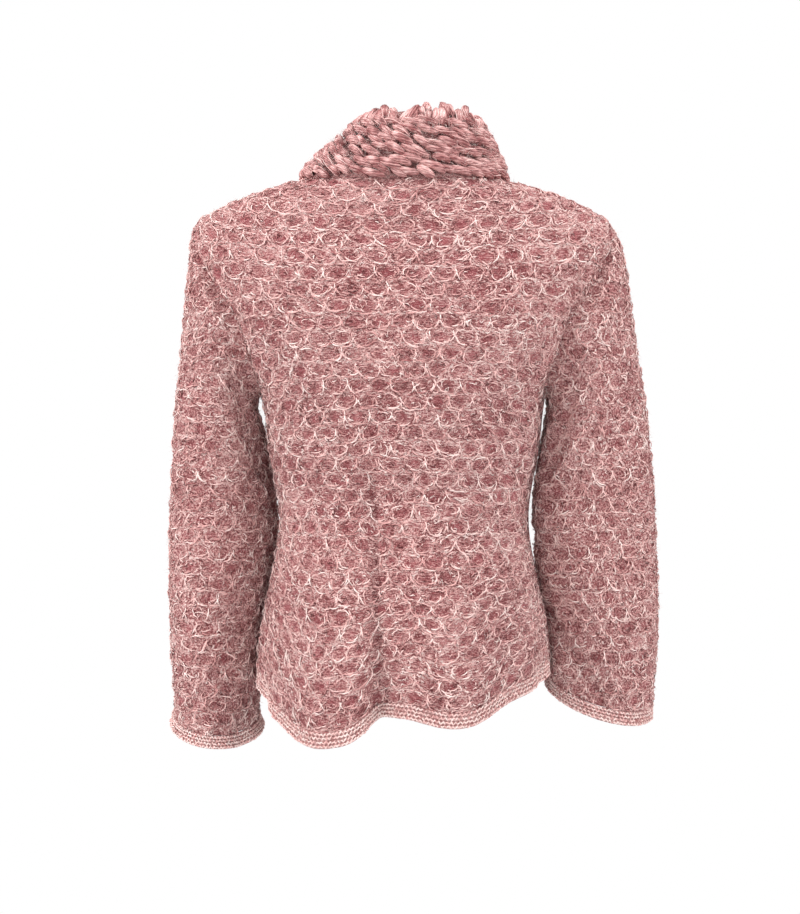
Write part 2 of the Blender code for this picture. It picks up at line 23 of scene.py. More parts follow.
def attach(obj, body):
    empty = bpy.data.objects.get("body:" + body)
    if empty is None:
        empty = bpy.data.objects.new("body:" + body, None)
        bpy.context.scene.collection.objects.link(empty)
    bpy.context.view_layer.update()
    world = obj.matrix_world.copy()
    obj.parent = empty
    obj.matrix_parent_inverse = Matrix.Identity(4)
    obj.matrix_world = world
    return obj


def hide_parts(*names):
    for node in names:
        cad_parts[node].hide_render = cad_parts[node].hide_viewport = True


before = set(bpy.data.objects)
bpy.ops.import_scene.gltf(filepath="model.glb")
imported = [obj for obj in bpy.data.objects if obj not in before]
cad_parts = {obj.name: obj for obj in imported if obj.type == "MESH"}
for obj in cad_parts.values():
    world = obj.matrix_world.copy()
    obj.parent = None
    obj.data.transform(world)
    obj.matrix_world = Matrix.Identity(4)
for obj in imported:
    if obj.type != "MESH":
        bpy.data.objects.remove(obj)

LOG = logging.getLogger("cardigan")
Grid = np.ndarray
Surface = Callable[[Grid, Grid], Grid]

CLOTH = 0.004
SEAM_GAP = 0.0003
FRONT_LIFT = CLOTH + SEAM_GAP
SHELL = 0.0032
OVAL_WIDTH, SHOULDER_OVAL_WIDTH = 0.0215, 0.0270
ROW_HEIGHT = 0.0153
STITCH = 0.0040
CUFF_LENGTH_ROUND = 0.34
SLEEVE_OVALS = 15.0
WIDER_FROM, WIDER_OVER = 0.30, 0.20
HALF_BAND = 0.016
SEED = 20


class Section(NamedTuple):
    """A section of the torso at a level, measured on the outside of the cloth."""

    level: float
    side_z: float
    back_z: float
    front_z: float
    half_width: float
    back_depth: float
    front_depth: float
    squareness: float


class Ring(NamedTuple):
    """A ring of a sleeve between its outer and its inner edge."""

    level: float
    outer_x: float
    outer_y: float
    outer_z: float
    inner_x: float
    inner_y: float
    inner_z: float
    back_depth: float
    front_depth: float
    tilt: float


class CollarSection(NamedTuple):
    """A section of the collar's wall at a height up its cloth."""

    height: float
    centre_x: float
    side_z: float
    back_z: float
    front_z: float
    half_width: float
    back_depth: float
    front_depth: float


class Crease(NamedTuple):
    """A soft trough (negative depth) or ridge along a straight line over the cloth."""

    from_angle: float
    from_level: float
    to_angle: float
    to_level: float
    from_depth: float
    to_depth: float
    width: float


BODY = (
    Section(0.000, -0.520, -0.520, -0.520, 0.147, 0.109, 0.108, 2.2),
    Section(0.015, -0.505, -0.505, -0.505, 0.147, 0.111, 0.110, 2.2),
    Section(0.068, -0.455, -0.455, -0.455, 0.143, 0.112, 0.112, 2.2),
    Section(0.127, -0.404, -0.404, -0.404, 0.134, 0.104, 0.108, 2.2),
    Section(0.202, -0.330, -0.330, -0.330, 0.125, 0.088, 0.101, 2.2),
    Section(0.270, -0.262, -0.262, -0.258, 0.136, 0.093, 0.118, 2.3),
    Section(0.333, -0.205, -0.200, -0.188, 0.144, 0.099, 0.130, 2.5),
    Section(0.408, -0.125, -0.125, -0.122, 0.184, 0.098, 0.116, 2.5),
    Section(0.479, -0.034, -0.052, -0.076, 0.208, 0.086, 0.088, 2.1),
    Section(0.512, -0.006, -0.020, -0.066, 0.152, 0.081, 0.082, 2.1),
    Section(0.536, 0.008, 0.000, -0.056, 0.101, 0.074, 0.080, 2.0),
)
HEM_SEAM, WAIST, UNDERARM, SHOULDER, NECK = 0.015, 0.202, 0.333, 0.479, 0.536
HEM_ANGLES = (-180, -135, -90, -61, -39, -24, -13, 0, 8, 17, 28, 40, 52, 90, 135, 180)
HEM_HEIGHTS = (
    -0.522, -0.531, -0.492, -0.500, -0.512, -0.527, -0.529, -0.522,
    -0.526, -0.542, -0.549, -0.545, -0.534, -0.501, -0.534, -0.522,
)  # fmt: skip
BODY_CREASES = (
    Crease(11, 0.245, 5, -0.02, -0.001, -0.014, 0.016),
    Crease(27, 0.150, 27, -0.02, 0.000, 0.009, 0.030),
    Crease(-17, 0.120, -20, -0.02, 0.000, 0.006, 0.028),
    Crease(76, 0.120, 68, -0.02, -0.001, -0.007, 0.014),
    Crease(-72, 0.110, -66, -0.02, -0.001, -0.005, 0.014),
    Crease(62, 0.390, 34, 0.290, -0.003, -0.001, 0.018),
    Crease(-62, 0.395, -38, 0.300, -0.004, -0.001, 0.018),
    Crease(20, 0.215, -24, 0.225, -0.002, -0.002, 0.016),
    Crease(132, 0.300, 146, -0.02, -0.001, -0.010, 0.018),
    Crease(-128, 0.310, -142, -0.02, -0.001, -0.009, 0.018),
    Crease(122, 0.130, 120, -0.02, 0.000, 0.004, 0.028),
    Crease(-118, 0.130, -116, -0.02, 0.000, 0.004, 0.028),
)
# Smaller folds that only the dressed cloth has.
BODY_WRINKLES = (
    Crease(52, 0.240, 30, 0.226, -0.0016, -0.0004, 0.009),
    Crease(-54, 0.252, -26, 0.232, -0.0018, -0.0004, 0.010),
    Crease(58, 0.205, 34, 0.200, 0.0012, 0.0002, 0.011),
    Crease(-60, 0.212, -38, 0.206, 0.0014, 0.0002, 0.012),
    Crease(70, 0.330, 46, 0.268, -0.0018, -0.0002, 0.011),
    Crease(-72, 0.335, -50, 0.276, -0.0022, -0.0002, 0.012),
    Crease(-34, 0.150, -44, 0.010, -0.0003, -0.0026, 0.013),
    Crease(48, 0.160, 52, 0.010, -0.0003, -0.0022, 0.014),
    Crease(128, 0.240, 150, 0.222, -0.0016, -0.0004, 0.011),
    Crease(-124, 0.232, -148, 0.220, -0.0018, -0.0004, 0.011),
    Crease(112, 0.330, 138, 0.280, -0.0020, -0.0003, 0.013),
    Crease(-110, 0.326, -136, 0.270, -0.0020, -0.0003, 0.013),
    Crease(12, 0.240, 7, -0.02, -0.0035, -0.0100, 0.007),
    Crease(-6, 0.100, -12, -0.02, -0.0010, -0.0040, 0.010),
    Crease(30, 0.110, 24, -0.02, -0.0010, -0.0035, 0.010),
)
LEFT_RINGS = (
    Ring(0.045, 0.217, 0.002, -0.077, 0.150, -0.008, -0.225, 0.055, 0.060, 0.000),
    Ring(0.100, 0.223, 0.001, -0.145, 0.143, -0.026, -0.250, 0.059, 0.060, 0.000),
    Ring(0.165, 0.230, 0.000, -0.215, 0.136, -0.036, -0.283, 0.062, 0.060, 0.000),
    Ring(0.235, 0.235, -0.003, -0.292, 0.131, -0.038, -0.325, 0.062, 0.059, 0.000),
    Ring(0.300, 0.238, -0.006, -0.360, 0.132, -0.037, -0.374, 0.061, 0.056, 0.003),
    Ring(0.360, 0.238, -0.009, -0.420, 0.141, -0.033, -0.424, 0.058, 0.054, 0.006),
    Ring(0.420, 0.237, -0.012, -0.475, 0.147, -0.032, -0.478, 0.055, 0.052, 0.009),
    Ring(0.467, 0.234, -0.014, -0.517, 0.150, -0.031, -0.527, 0.052, 0.050, 0.012),
    Ring(0.485, 0.235, -0.014, -0.531, 0.150, -0.030, -0.542, 0.052, 0.050, 0.014),
    Ring(0.499, 0.237, -0.014, -0.543, 0.146, -0.028, -0.554, 0.053, 0.050, 0.015),
)
RIGHT_RINGS = (
    Ring(0.045, 0.226, 0.002, -0.077, 0.147, 0.000, -0.225, 0.052, 0.057, 0.000),
    Ring(0.100, 0.235, 0.001, -0.145, 0.143, -0.002, -0.250, 0.051, 0.055, 0.000),
    Ring(0.165, 0.246, -0.001, -0.215, 0.137, -0.004, -0.283, 0.049, 0.051, 0.000),
    Ring(0.230, 0.254, -0.003, -0.285, 0.133, -0.007, -0.320, 0.047, 0.048, 0.000),
    Ring(0.290, 0.258, -0.006, -0.350, 0.134, -0.010, -0.364, 0.046, 0.046, 0.002),
    Ring(0.350, 0.261, -0.010, -0.412, 0.141, -0.014, -0.412, 0.045, 0.045, 0.005),
    Ring(0.405, 0.261, -0.014, -0.466, 0.148, -0.018, -0.455, 0.044, 0.044, 0.009),
    Ring(0.450, 0.258, -0.017, -0.508, 0.151, -0.020, -0.484, 0.043, 0.043, 0.012),
    Ring(0.466, 0.257, -0.018, -0.523, 0.151, -0.020, -0.497, 0.043, 0.043, 0.014),
    Ring(0.480, 0.255, -0.018, -0.537, 0.149, -0.020, -0.508, 0.044, 0.043, 0.015),
)
LEFT_SLEEVE_CREASES = (
    Crease(118, 0.060, 148, 0.190, -0.002, -0.006, 0.014),
    Crease(238, 0.060, 212, 0.180, -0.002, -0.006, 0.014),
    Crease(215, 0.290, 120, 0.315, -0.004, -0.001, 0.013),
    Crease(60, 0.340, 130, 0.395, -0.001, -0.003, 0.014),
    Crease(150, 0.420, 128, 0.510, -0.001, -0.006, 0.012),
    Crease(150, 0.240, 96, 0.262, -0.0022, -0.0003, 0.010),
    Crease(210, 0.235, 262, 0.258, -0.0022, -0.0003, 0.010),
    Crease(200, 0.380, 262, 0.400, -0.0020, -0.0003, 0.011),
)
RIGHT_SLEEVE_CREASES = (
    Crease(112, 0.055, 140, 0.170, -0.003, -0.007, 0.014),
    Crease(238, 0.060, 215, 0.170, -0.002, -0.006, 0.014),
    Crease(200, 0.270, 110, 0.300, -0.004, -0.001, 0.013),
    Crease(50, 0.150, 120, 0.215, -0.001, -0.003, 0.015),
    Crease(158, 0.375, 92, 0.465, -0.005, -0.003, 0.012),
    Crease(150, 0.225, 100, 0.250, -0.0022, -0.0003, 0.010),
    Crease(208, 0.230, 258, 0.252, -0.0022, -0.0003, 0.010),
    Crease(204, 0.365, 262, 0.385, -0.0020, -0.0003, 0.011),
)
COLLAR = (
    CollarSection(0.000, 0.000, 0.0093, 0.0012, -0.0548, 0.101, 0.074, 0.080),
    CollarSection(0.028, -0.006, 0.031, 0.026, -0.030, 0.088, 0.069, 0.077),
    CollarSection(0.056, -0.013, 0.053, 0.052, -0.003, 0.069, 0.059, 0.068),
    CollarSection(0.074, -0.018, 0.066, 0.069, 0.016, 0.056, 0.050, 0.059),
)


def hermite(t: Grid, start: Grid, leaving: Grid, end: Grid, arriving: Grid) -> Grid:
    """A smooth way from one place to another.

    Args:
        t: How far along it to read, from 0 to 1.
        start: The place at 0.
        leaving: The slope there.
        end: The place at 1.
        arriving: The slope there.

    Returns:
        The place at t.
    """
    return (
        (2 * t**3 - 3 * t**2 + 1) * start
        + (t**3 - 2 * t**2 + t) * leaving
        + (3 * t**2 - 2 * t**3) * end
        + (t**3 - t**2) * arriving
    )


def spline(knots: Sequence[float], values: Sequence[float], at: Grid) -> Grid:
    """Reads a smooth curve at any places.

    Args:
        knots: The places where the curve's values are known.
        values: The values there.
        at: The places to read.

    Returns:
        The curve's values at those places.
    """
    knots = np.asarray(knots, float)
    values = np.asarray(values, float)
    slopes = np.gradient(values, knots)
    i = np.clip(np.searchsorted(knots, at, side="right") - 1, 0, len(knots) - 2)
    step = knots[i + 1] - knots[i]
    t = (at - knots[i]) / step
    return hermite(t, values[i], step * slopes[i], values[i + 1], step * slopes[i + 1])


def columns_at(table: Sequence[NamedTuple], at: Grid) -> NamedTuple:
    """Reads every column of a table smoothly at places of its first column.

    Args:
        table: The rows, all of one kind.
        at: The places to read.

    Returns:
        One row of the same kind that holds whole grids of values.
    """
    rows = list(zip(*table))
    values = [spline(rows[0], row, at) for row in rows[1:]]
    return type(table[0])(at, *values)


def smooth_step(value: Grid) -> Grid:
    """0 up to 0, 1 from 1 on, and smooth between them."""
    t = np.clip(value, 0, 1)
    return t * t * (3 - 2 * t)


def signed_power(value: Grid, power: Grid) -> Grid:
    """The power of a value's size, with the value's own sign."""
    return np.sign(value) * np.abs(value) ** power


def unit(vectors: Grid) -> Grid:
    """Vectors brought to length 1."""
    return vectors / np.maximum(np.linalg.norm(vectors, axis=-1, keepdims=True), 1e-12)


def turned(angle: Grid) -> Grid:
    """An angle in radians brought to between half a turn back and half a turn on."""
    return (angle + math.pi) % (2 * math.pi) - math.pi


def normals(surface: Surface, angle: Grid, level: Grid, step: float = 2e-4) -> Grid:
    """Finds the outward directions of a surface from small steps along it.

    Args:
        surface: The surface as a function of angles and levels.
        angle: The angles to look at.
        level: The levels to look at.
        step: How far to step.

    Returns:
        Directions of length 1.
    """
    around = surface(angle + step, level) - surface(angle - step, level)
    along = surface(angle, level + step) - surface(angle, level - step)
    return unit(np.cross(along, around))


def crease_depth(creases: Sequence[Crease], radius: float, angle: Grid, level: Grid) -> Grid:
    """Adds up how far the creases lift the cloth, or sink it.

    Args:
        creases: The creases.
        radius: The mean radius that turns angles into lengths.
        angle: The angles to look at, in radians.
        level: The levels to look at.

    Returns:
        The depth at each place, in metres.
    """
    depth = np.zeros(np.broadcast(angle, level).shape)
    for crease in creases:
        start = math.radians(crease.from_angle)
        along = turned(math.radians(crease.to_angle) - start) * radius
        up = crease.to_level - crease.from_level
        across = turned(angle - start) * radius
        rise = level - crease.from_level
        share = np.clip((across * along + rise * up) / (along**2 + up**2), 0, 1)
        away = (across - share * along) ** 2 + (rise - share * up) ** 2
        height = crease.from_depth + share * (crease.to_depth - crease.from_depth)
        depth = depth + height * np.exp(-away / crease.width**2)
    return depth


def oval(angle: Grid, half_width: Grid, back: Grid, front: Grid, square: Grid) -> tuple:
    """Points round a closed oval that may be deeper in front than behind.

    Args:
        angle: The angles to look at, in radians.
        half_width: Half its width.
        back: Its depth behind.
        front: Its depth in front.
        square: 2 for an ellipse, more for fuller corners.

    Returns:
        How far each point lies across, and how far back.
    """
    depth = np.where(np.cos(angle) > 0, back, front)
    across = half_width * signed_power(np.sin(angle), 2 / square)
    return across, depth * signed_power(np.cos(angle), 2 / square)


def tilted_z(angle: Grid, side_z: Grid, back_z: Grid, front_z: Grid) -> Grid:
    """The height round an oval whose back and front lie lower than its sides."""
    end_z = np.where(np.cos(angle) > 0, back_z, front_z)
    return side_z + (end_z - side_z) * np.cos(angle) ** 2


@dataclass(frozen=True)
class Torso:
    """The form of the body's cloth, on its outside."""

    mean_radius: float = 0.12
    band_turn: float = math.radians(10)
    overlap_turn: float = math.radians(24)
    creases: tuple = BODY_CREASES + BODY_WRINKLES

    def smooth(self, angle: Grid, level: Grid) -> Grid:
        """The surface before it is creased.

        Args:
            angle: The angles to look at, in radians.
            level: The levels to look at.

        Returns:
            The points there.
        """
        angle, level = np.broadcast_arrays(angle, level)
        s = columns_at(BODY, level)
        x, y = oval(angle, s.half_width, s.back_depth, s.front_depth, s.squareness)
        hem = spline(np.radians(HEM_ANGLES), HEM_HEIGHTS, turned(angle)) - BODY[0].side_z
        z = tilted_z(angle, s.side_z, s.back_z, s.front_z)
        z = z + hem * (1 - smooth_step(level / WAIST))
        return np.stack([x, y, z], axis=-1)

    def under(self, angle: Grid, level: Grid, lift: Union[Grid, float] = 0.0) -> Grid:
        """The creased surface, moved out by a lift."""
        depth = crease_depth(self.creases, self.mean_radius, angle, level) + lift
        return self.smooth(angle, level) + depth[..., None] * normals(self.smooth, angle, level)

    def overlapping(self, angle: Grid, level: Grid) -> Grid:
        """The right front's surface, which rises towards its band to lie over the left.

        Args:
            angle: The angles to look at, in radians.
            level: The levels to look at.

        Returns:
            The points there.
        """
        from_centre = math.pi - np.abs(turned(angle))
        lift = FRONT_LIFT * smooth_step(1 - (from_centre - self.band_turn) / self.overlap_turn)
        return self.under(angle, level, lift)

    def top(self, angle: Grid, level: Grid) -> Grid:
        """The surface of the right band, which lies over the left one."""
        return self.under(angle, level, FRONT_LIFT)

    def armhole(self, share: Grid, swing: Grid) -> tuple:
        """The armhole's angles and levels at shares of its height."""
        angle = math.pi / 2 - swing * np.sqrt(np.sin(math.pi * np.clip(share, 0, 1)))
        return angle, UNDERARM + share * (SHOULDER - UNDERARM)

    def edge(self, levels: Grid, swing: float) -> Grid:
        """The angle of a panel's side seam, armhole and shoulder seam from its middle.

        Args:
            levels: The levels to look at.
            swing: How far the armhole cuts into the panel.

        Returns:
            The angle at each level.
        """
        share = (levels - UNDERARM) / (SHOULDER - UNDERARM)
        s = columns_at(BODY, levels)
        half_gap = (SEAM_GAP / 2 / s.back_depth) ** (s.squareness / 2)
        return self.armhole(share, swing)[0] - half_gap

    def centre_turn(self, levels: Grid, x: float) -> Grid:
        """How far round from the centre front a place x to the side of it lies."""
        s = columns_at(BODY, levels)
        return np.arcsin((x / s.half_width) ** (s.squareness / 2))


TORSO = Torso()
BACK_SWING = math.radians(24)
FRONT_SWING = math.radians(28)


class Sock:
    """A shader socket that can be reckoned with: each operator adds a Math node."""

    def __init__(self, shader: "Shader", socket: bpy.types.NodeSocket) -> None:
        """Wraps a socket.

        Args:
            shader: The shader that the socket's node is in.
            socket: The output socket.
        """
        self.shader = shader
        self.socket = socket

    def op(self, name: str, *others: "Number") -> "Sock":
        """Adds a Math node.

        Args:
            name: Its operation.
            others: The operands after this one.

        Returns:
            Its result.
        """
        values = dict(enumerate((self, *others)))
        return self.shader.node("ShaderNodeMath", {"operation": name}, values)

    def __add__(self, other: "Number") -> "Sock":
        """The sum."""
        return self.op("ADD", other)

    def __sub__(self, other: "Number") -> "Sock":
        """The difference."""
        return self.op("SUBTRACT", other)

    def __rsub__(self, other: float) -> "Sock":
        """A number less this."""
        return self.op("MULTIPLY", -1.0).op("ADD", other)

    def __mul__(self, other: "Number") -> "Sock":
        """The product."""
        return self.op("MULTIPLY", other)

    def __truediv__(self, other: "Number") -> "Sock":
        """The quotient."""
        return self.op("DIVIDE", other)

    def __abs__(self) -> "Sock":
        """The size of the value."""
        return self.op("ABSOLUTE")

    __radd__ = __add__
    __rmul__ = __mul__

    def floor(self) -> "Sock":
        """The whole number below."""
        return self.op("FLOOR")

    def fract(self) -> "Sock":
        """What is left above the whole number below."""
        return self.op("FRACT")

    def cos(self) -> "Sock":
        """The cosine."""
        return self.op("COSINE")

    def sin(self) -> "Sock":
        """The sine."""
        return self.op("SINE")

    def power(self, exponent: float) -> "Sock":
        """The power."""
        return self.op("POWER", exponent)

    def ramp(self, low: float, high: float) -> "Sock":
        """0 at low, 1 at high, and smooth between them. Low may be above high.

        Args:
            low: Where it is 0.
            high: Where it is 1.

        Returns:
            The ramp's value.
        """
        settings = {"interpolation_type": "SMOOTHSTEP", "clamp": True}
        values = {"Value": self, "From Min": low, "From Max": high}
        if low > high:
            values.update({"From Min": high, "From Max": low, "To Min": 1.0, "To Max": 0.0})
        return self.shader.node("ShaderNodeMapRange", settings, values)


Number = Union[Sock, float]
Colour = tuple


class Shader:
    """A material's node tree under construction."""

    def __init__(self, name: str) -> None:
        """Makes the material with an output and a Principled shader.

        Args:
            name: The material's name.
        """
        self.material = bpy.data.materials.new(name)
        self.material.use_nodes = True
        self.tree = self.material.node_tree
        self.surface = self.tree.nodes["Principled BSDF"]

    def fill(self, socket: bpy.types.NodeSocket, value: object) -> None:
        """Links an input to a wrapped socket, or sets its value.

        Args:
            socket: The input.
            value: A wrapped socket or a plain value.
        """
        if isinstance(value, Sock):
            self.tree.links.new(value.socket, socket)
        else:
            socket.default_value = value

    def node(self, kind: str, settings: dict = {}, inputs: dict = {}, out: object = 0) -> Sock:
        """Adds any node.

        Args:
            kind: The node's type.
            settings: Its properties, and "stops" for a colour ramp.
            inputs: Values or links for its sockets, by name or number.
            out: Which output to give back.

        Returns:
            That output.
        """
        made = self.tree.nodes.new(kind)
        for key, value in settings.items():
            if key != "stops":
                setattr(made, key, value)
        for i, (place, colour) in enumerate(settings.get("stops", ())):
            ramp = made.color_ramp
            stop = ramp.elements[i] if i < 2 else ramp.elements.new(place)
            stop.position = place
            stop.color = (*colour, 1)
        for key, value in inputs.items():
            self.fill(made.inputs[key], value)
        return Sock(self, made.outputs[out])

    def uv(self) -> tuple:
        """The two coordinates of the piece's UV map.

        Returns:
            The place across and the place up.
        """
        mapped = self.node("ShaderNodeUVMap", {"uv_map": "stitches"})
        parts = self.node("ShaderNodeSeparateXYZ", {}, {0: mapped})
        return parts, Sock(self, parts.socket.node.outputs[1])

    def point(self, x: Number, y: Number, z: Number = 0.0) -> Sock:
        """Three numbers as a vector."""
        return self.node("ShaderNodeCombineXYZ", {}, {0: x, 1: y, 2: z})

    def noise(self, place: Sock, scale: float, detail: float = 2.0, rough: float = 0.5) -> Sock:
        """Soft noise from 0 to 1 at a place."""
        values = {"Vector": place, "Scale": scale, "Detail": detail, "Roughness": rough}
        return self.node("ShaderNodeTexNoise", {}, values)

    def speckle(self, place: Sock) -> Sock:
        """A value that is random for each place."""
        return self.node("ShaderNodeTexWhiteNoise", {"noise_dimensions": "3D"}, {"Vector": place})

    def mix(self, share: Number, low: object, high: object) -> Sock:
        """A colour between two colours.

        Args:
            share: How much of the second colour there is.
            low: The first colour.
            high: The second colour.

        Returns:
            The mixed colour.
        """
        settings = {"data_type": "RGBA"}
        full = {0: share}
        for key, value in ((6, low), (7, high)):
            full[key] = value if isinstance(value, Sock) else (*value, 1)
        return self.node("ShaderNodeMix", settings, full, 2)

    def bump(self, height: Sock, strength: float, distance: float) -> Sock:
        """A normal that a height tilts."""
        values = {"Strength": strength, "Distance": distance, "Height": height}
        return self.node("ShaderNodeBump", {}, values)

    def finish(self, base: object, rough: Number, normal: Sock) -> bpy.types.Material:
        """Connects the Principled shader.

        Args:
            base: The base colour.
            rough: The roughness.
            normal: The normal.

        Returns:
            The finished material.
        """
        self.fill(self.surface.inputs["Base Color"], base)
        self.fill(self.surface.inputs["Roughness"], rough)
        self.fill(self.surface.inputs["Normal"], normal)
        return self.material

    def fuzz(self) -> None:
        """Sets the sheen that stands for fine hairs over the cloth."""
        values = {
            "Sheen Weight": 0.15,
            "Sheen Roughness": 0.5,
            "Sheen Tint": (1.0, 0.80, 0.76, 1),
            "Specular IOR Level": 0.15,
        }
        for name, value in values.items():
            self.surface.inputs[name].default_value = value

    def yarn_tone(self, tone: Sock) -> Sock:
        """The space-dyed yarn's colour at a tone from 0 to 1."""
        return self.node("ShaderNodeValToRGB", {"stops": YARN_TONES}, {0: tone})


# The space-dyed yarn's tones, from plum to cream.
YARN_TONES = (
    (0.00, (0.150, 0.042, 0.043)),
    (0.20, (0.320, 0.096, 0.098)),
    (0.42, (0.540, 0.255, 0.245)),
    (0.62, (0.780, 0.440, 0.418)),
    (0.80, (0.900, 0.615, 0.580)),
    (1.00, (0.955, 0.760, 0.720)),
)


@dataclass(frozen=True)
class HoneycombKnit:
    """Brushed honeycomb knit: raspberry ovals between wavy rows of paler strokes. The heart of each
    oval is darker, partly its own raspberry and partly painted shade of its hollow.

    The UV map counts ovals across and rows up.
    """

    name: str = "honeycomb_knit"
    raspberry: Colour = (0.430, 0.085, 0.105)
    cream: Colour = (0.940, 0.700, 0.660)
    contrast: float = 1.9
    across: float = 5.0
    up: float = 12.0
    clarity: float = 1.0

    def make(self) -> bpy.types.Material:
        """Builds the material.

        Returns:
            The finished material.
        """
        s = Shader(self.name)
        u, v = s.uv()
        row = v.floor()
        moved = u + (row * 0.5).fract()
        x, y = (moved.fract() - 0.5) / 0.44, (v.fract() - 0.5) / 0.50
        own = s.speckle(s.point(moved.floor(), row))
        other = s.speckle(s.point(moved.floor(), row, 5.0))
        reach = (x * x + y * y).power(0.5)
        turn = y.op("ARCTAN2", x)
        wave = s.noise(s.point(u * 2.1, v * 1.7, 3.0), 1.0, 2.0)
        around = s.point(turn * 1.5 + own * 30.0, reach * 6.0 + wave * 2.4, other * 9.0)
        stroke = s.noise(around, 1.0, 2.0, 0.55)
        line = s.point(u * self.across + wave * 2.5, v * self.up + wave * 3.5)
        line = s.noise(line, 1.0, 2.0, 0.55)
        fibre = s.noise(s.point(u * 18.0, v * 13.0), 1.0, 3.0, 0.6)
        streak = s.noise(s.point(u * 0.5, row * 3.7), 1.0, 2.0)
        patch = s.noise(s.point(u * 0.24, v * 0.27, 4.0), 1.0, 2.0)
        clear = s.noise(s.point(u * 0.45, v * 0.5, 8.0), 1.0, 2.0).ramp(0.32, 0.60)
        clear = (clear * 0.7 + 0.3) * self.clarity
        # The heart of each oval is darkened and turned towards raspberry: partly the ground's own
        # raspberry, partly painted shade of the oval's hollow.
        heart_dye_and_shade = reach.ramp(0.92, 0.30) * clear
        between = abs(y).ramp(0.70, 1.0)
        tone = 0.45 + between * 0.08 + (line - 0.5) * self.contrast + (fibre - 0.5) * 1.9
        tone = tone + (stroke - 0.5) * self.contrast * reach.ramp(0.4, 1.0)
        tone = tone - heart_dye_and_shade * (own * 0.20 + 0.10) + (streak - 0.5) * 0.55 + (patch - 0.5) * 0.35
        base = s.yarn_tone(tone)
        base = s.mix(heart_dye_and_shade * (other * 0.35 + 0.15), base, self.raspberry)
        fine = s.noise(s.point(u * 46.0, v * 30.0), 1.0, 2.0)
        base = s.mix(fine.ramp(0.60, 0.80) * 0.35, base, self.cream)
        height = tone * 1.3 + fine * 0.25
        s.fuzz()
        return s.finish(base, 0.98 - stroke * 0.10, s.bump(height, 0.8, 0.0016))


@dataclass(frozen=True)
class GarterKnit:
    """Paler garter knit of the borders, with painted shade in the troughs between its ridges. The
    UV map counts stitches across and ridges up.
    """

    name: str = "garter_knit"
    # groove is painted shade: the dark colour of the troughs between the ridges.
    groove: Colour = (0.300, 0.115, 0.110)
    rose: Colour = (0.640, 0.340, 0.320)
    pale: Colour = (0.880, 0.600, 0.570)

    def make(self) -> bpy.types.Material:
        """Builds the material.

        Returns:
            The finished material.
        """
        s = Shader(self.name)
        u0, v0 = s.uv()
        u = u0 + (s.noise(s.point(u0 * 0.7, v0), 1.0) - 0.5) * 0.7
        v = v0 + (s.noise(s.point(u0 * 0.4, v0 * 0.5, 5.0), 1.0) - 0.5) * 0.35
        ridge = 0.5 - (v * (2 * math.pi)).cos() * 0.5
        twist = (u + v * 0.9).fract() - 0.5
        bead = 1.0 - abs(twist) * 2.0
        streak = s.noise(s.point(u * 0.28, v.floor() * 3.1), 1.0, 2.0)
        hair = s.noise(s.point(u * 5.0, v * 7.0), 1.0, 3.0, 0.6)
        # Painted shade: lit is high on ridge tops and beads and low in the troughs between them;
        # the hair noise in it is the yarn's own random tone.
        lit = (ridge * 0.25 + bead * 0.35 + hair * 1.3 - 0.42).ramp(0.10, 0.85)
        pale = s.mix(streak.ramp(0.35, 0.65), self.rose, self.pale)
        base = s.mix(lit, self.groove, pale)
        base = s.mix(hair.ramp(0.58, 0.74) * 0.5, base, self.pale)
        s.fuzz()
        height = ridge * 0.8 + bead * ridge * 0.9 + hair * 0.6
        return s.finish(base, 0.97 - lit * 0.08, s.bump(height, 0.7, 0.0016))


@dataclass(frozen=True)
class PliedYarn:
    """Thick plied yarn. The UV map gives the length along it, and the share round it."""

    name: str = "plied_yarn"
    rose: Colour = (0.470, 0.215, 0.205)
    pale: Colour = (0.860, 0.560, 0.535)
    strands: float = 9.0
    twist: float = 70.0

    def make(self) -> bpy.types.Material:
        """Builds the material.

        Returns:
            The finished material.
        """
        s = Shader(self.name)
        along, around = s.uv()
        turn = around * self.strands + along * self.twist
        ply = 0.5 - (turn * (2 * math.pi)).cos() * 0.5
        place = s.node("ShaderNodeTexCoord", out="Object")
        loop = s.noise(place, 75.0, 2.0)
        strand = s.noise(s.point(turn * 1.2, along * 130.0), 1.0, 3.0, 0.6)
        # Painted shade: the ply term makes each ply's crest lighter and the groove between plies
        # darker.
        tone = 0.36 + (ply - 0.5) * 0.18 + (strand - 0.5) * 2.2 + (loop - 0.5) * 1.4
        base = s.yarn_tone(tone)
        base = s.mix(0.22, base, s.mix(loop.ramp(0.36, 0.64), self.rose, self.pale))
        s.fuzz()
        return s.finish(base, 0.97 - ply * 0.05, s.bump(ply + strand * 1.2, 0.8, 0.0012))


@dataclass(frozen=True)
class SpaceDyedYarn:
    """Soft yarn whose tone comes from the UV map: across is the tone, up is the length."""

    name: str = "space_dyed_yarn"
    mottle: float = 0.28

    def make(self) -> bpy.types.Material:
        """Builds the material.

        Returns:
            The finished material.
        """
        s = Shader(self.name)
        tone, along = s.uv()
        place = s.node("ShaderNodeTexCoord", out="Object")
        fine = s.noise(place, 700.0, 2.0)
        slow = s.noise(place, 160.0, 1.0)
        shade = tone + (fine - 0.5) * self.mottle + (slow - 0.5) * 0.24
        base = s.yarn_tone(shade)
        s.fuzz()
        twist = (along * 5200.0 + fine * 3.0).sin()
        return s.finish(base, 0.97 - tone * 0.08, s.bump(twist, 0.25, 0.0003))


@dataclass(frozen=True)
class MohairFibre:
    """The single hairs that stand out of the brushed cloth."""

    name: str = "mohair_fibre"
    rose: Colour = (0.66, 0.42, 0.40)
    pale: Colour = (0.90, 0.72, 0.68)

    def make(self) -> bpy.types.Material:
        """Builds the material.

        Returns:
            The finished material.
        """
        s = Shader(self.name)
        place = s.node("ShaderNodeTexCoord", out="Object")
        tone = s.noise(place, 90.0, 2.0)
        base = s.mix(tone.ramp(0.35, 0.65), self.rose, self.pale)
        return s.finish(base, 0.9 - tone * 0.1, s.bump(tone, 0.1, 0.0002))


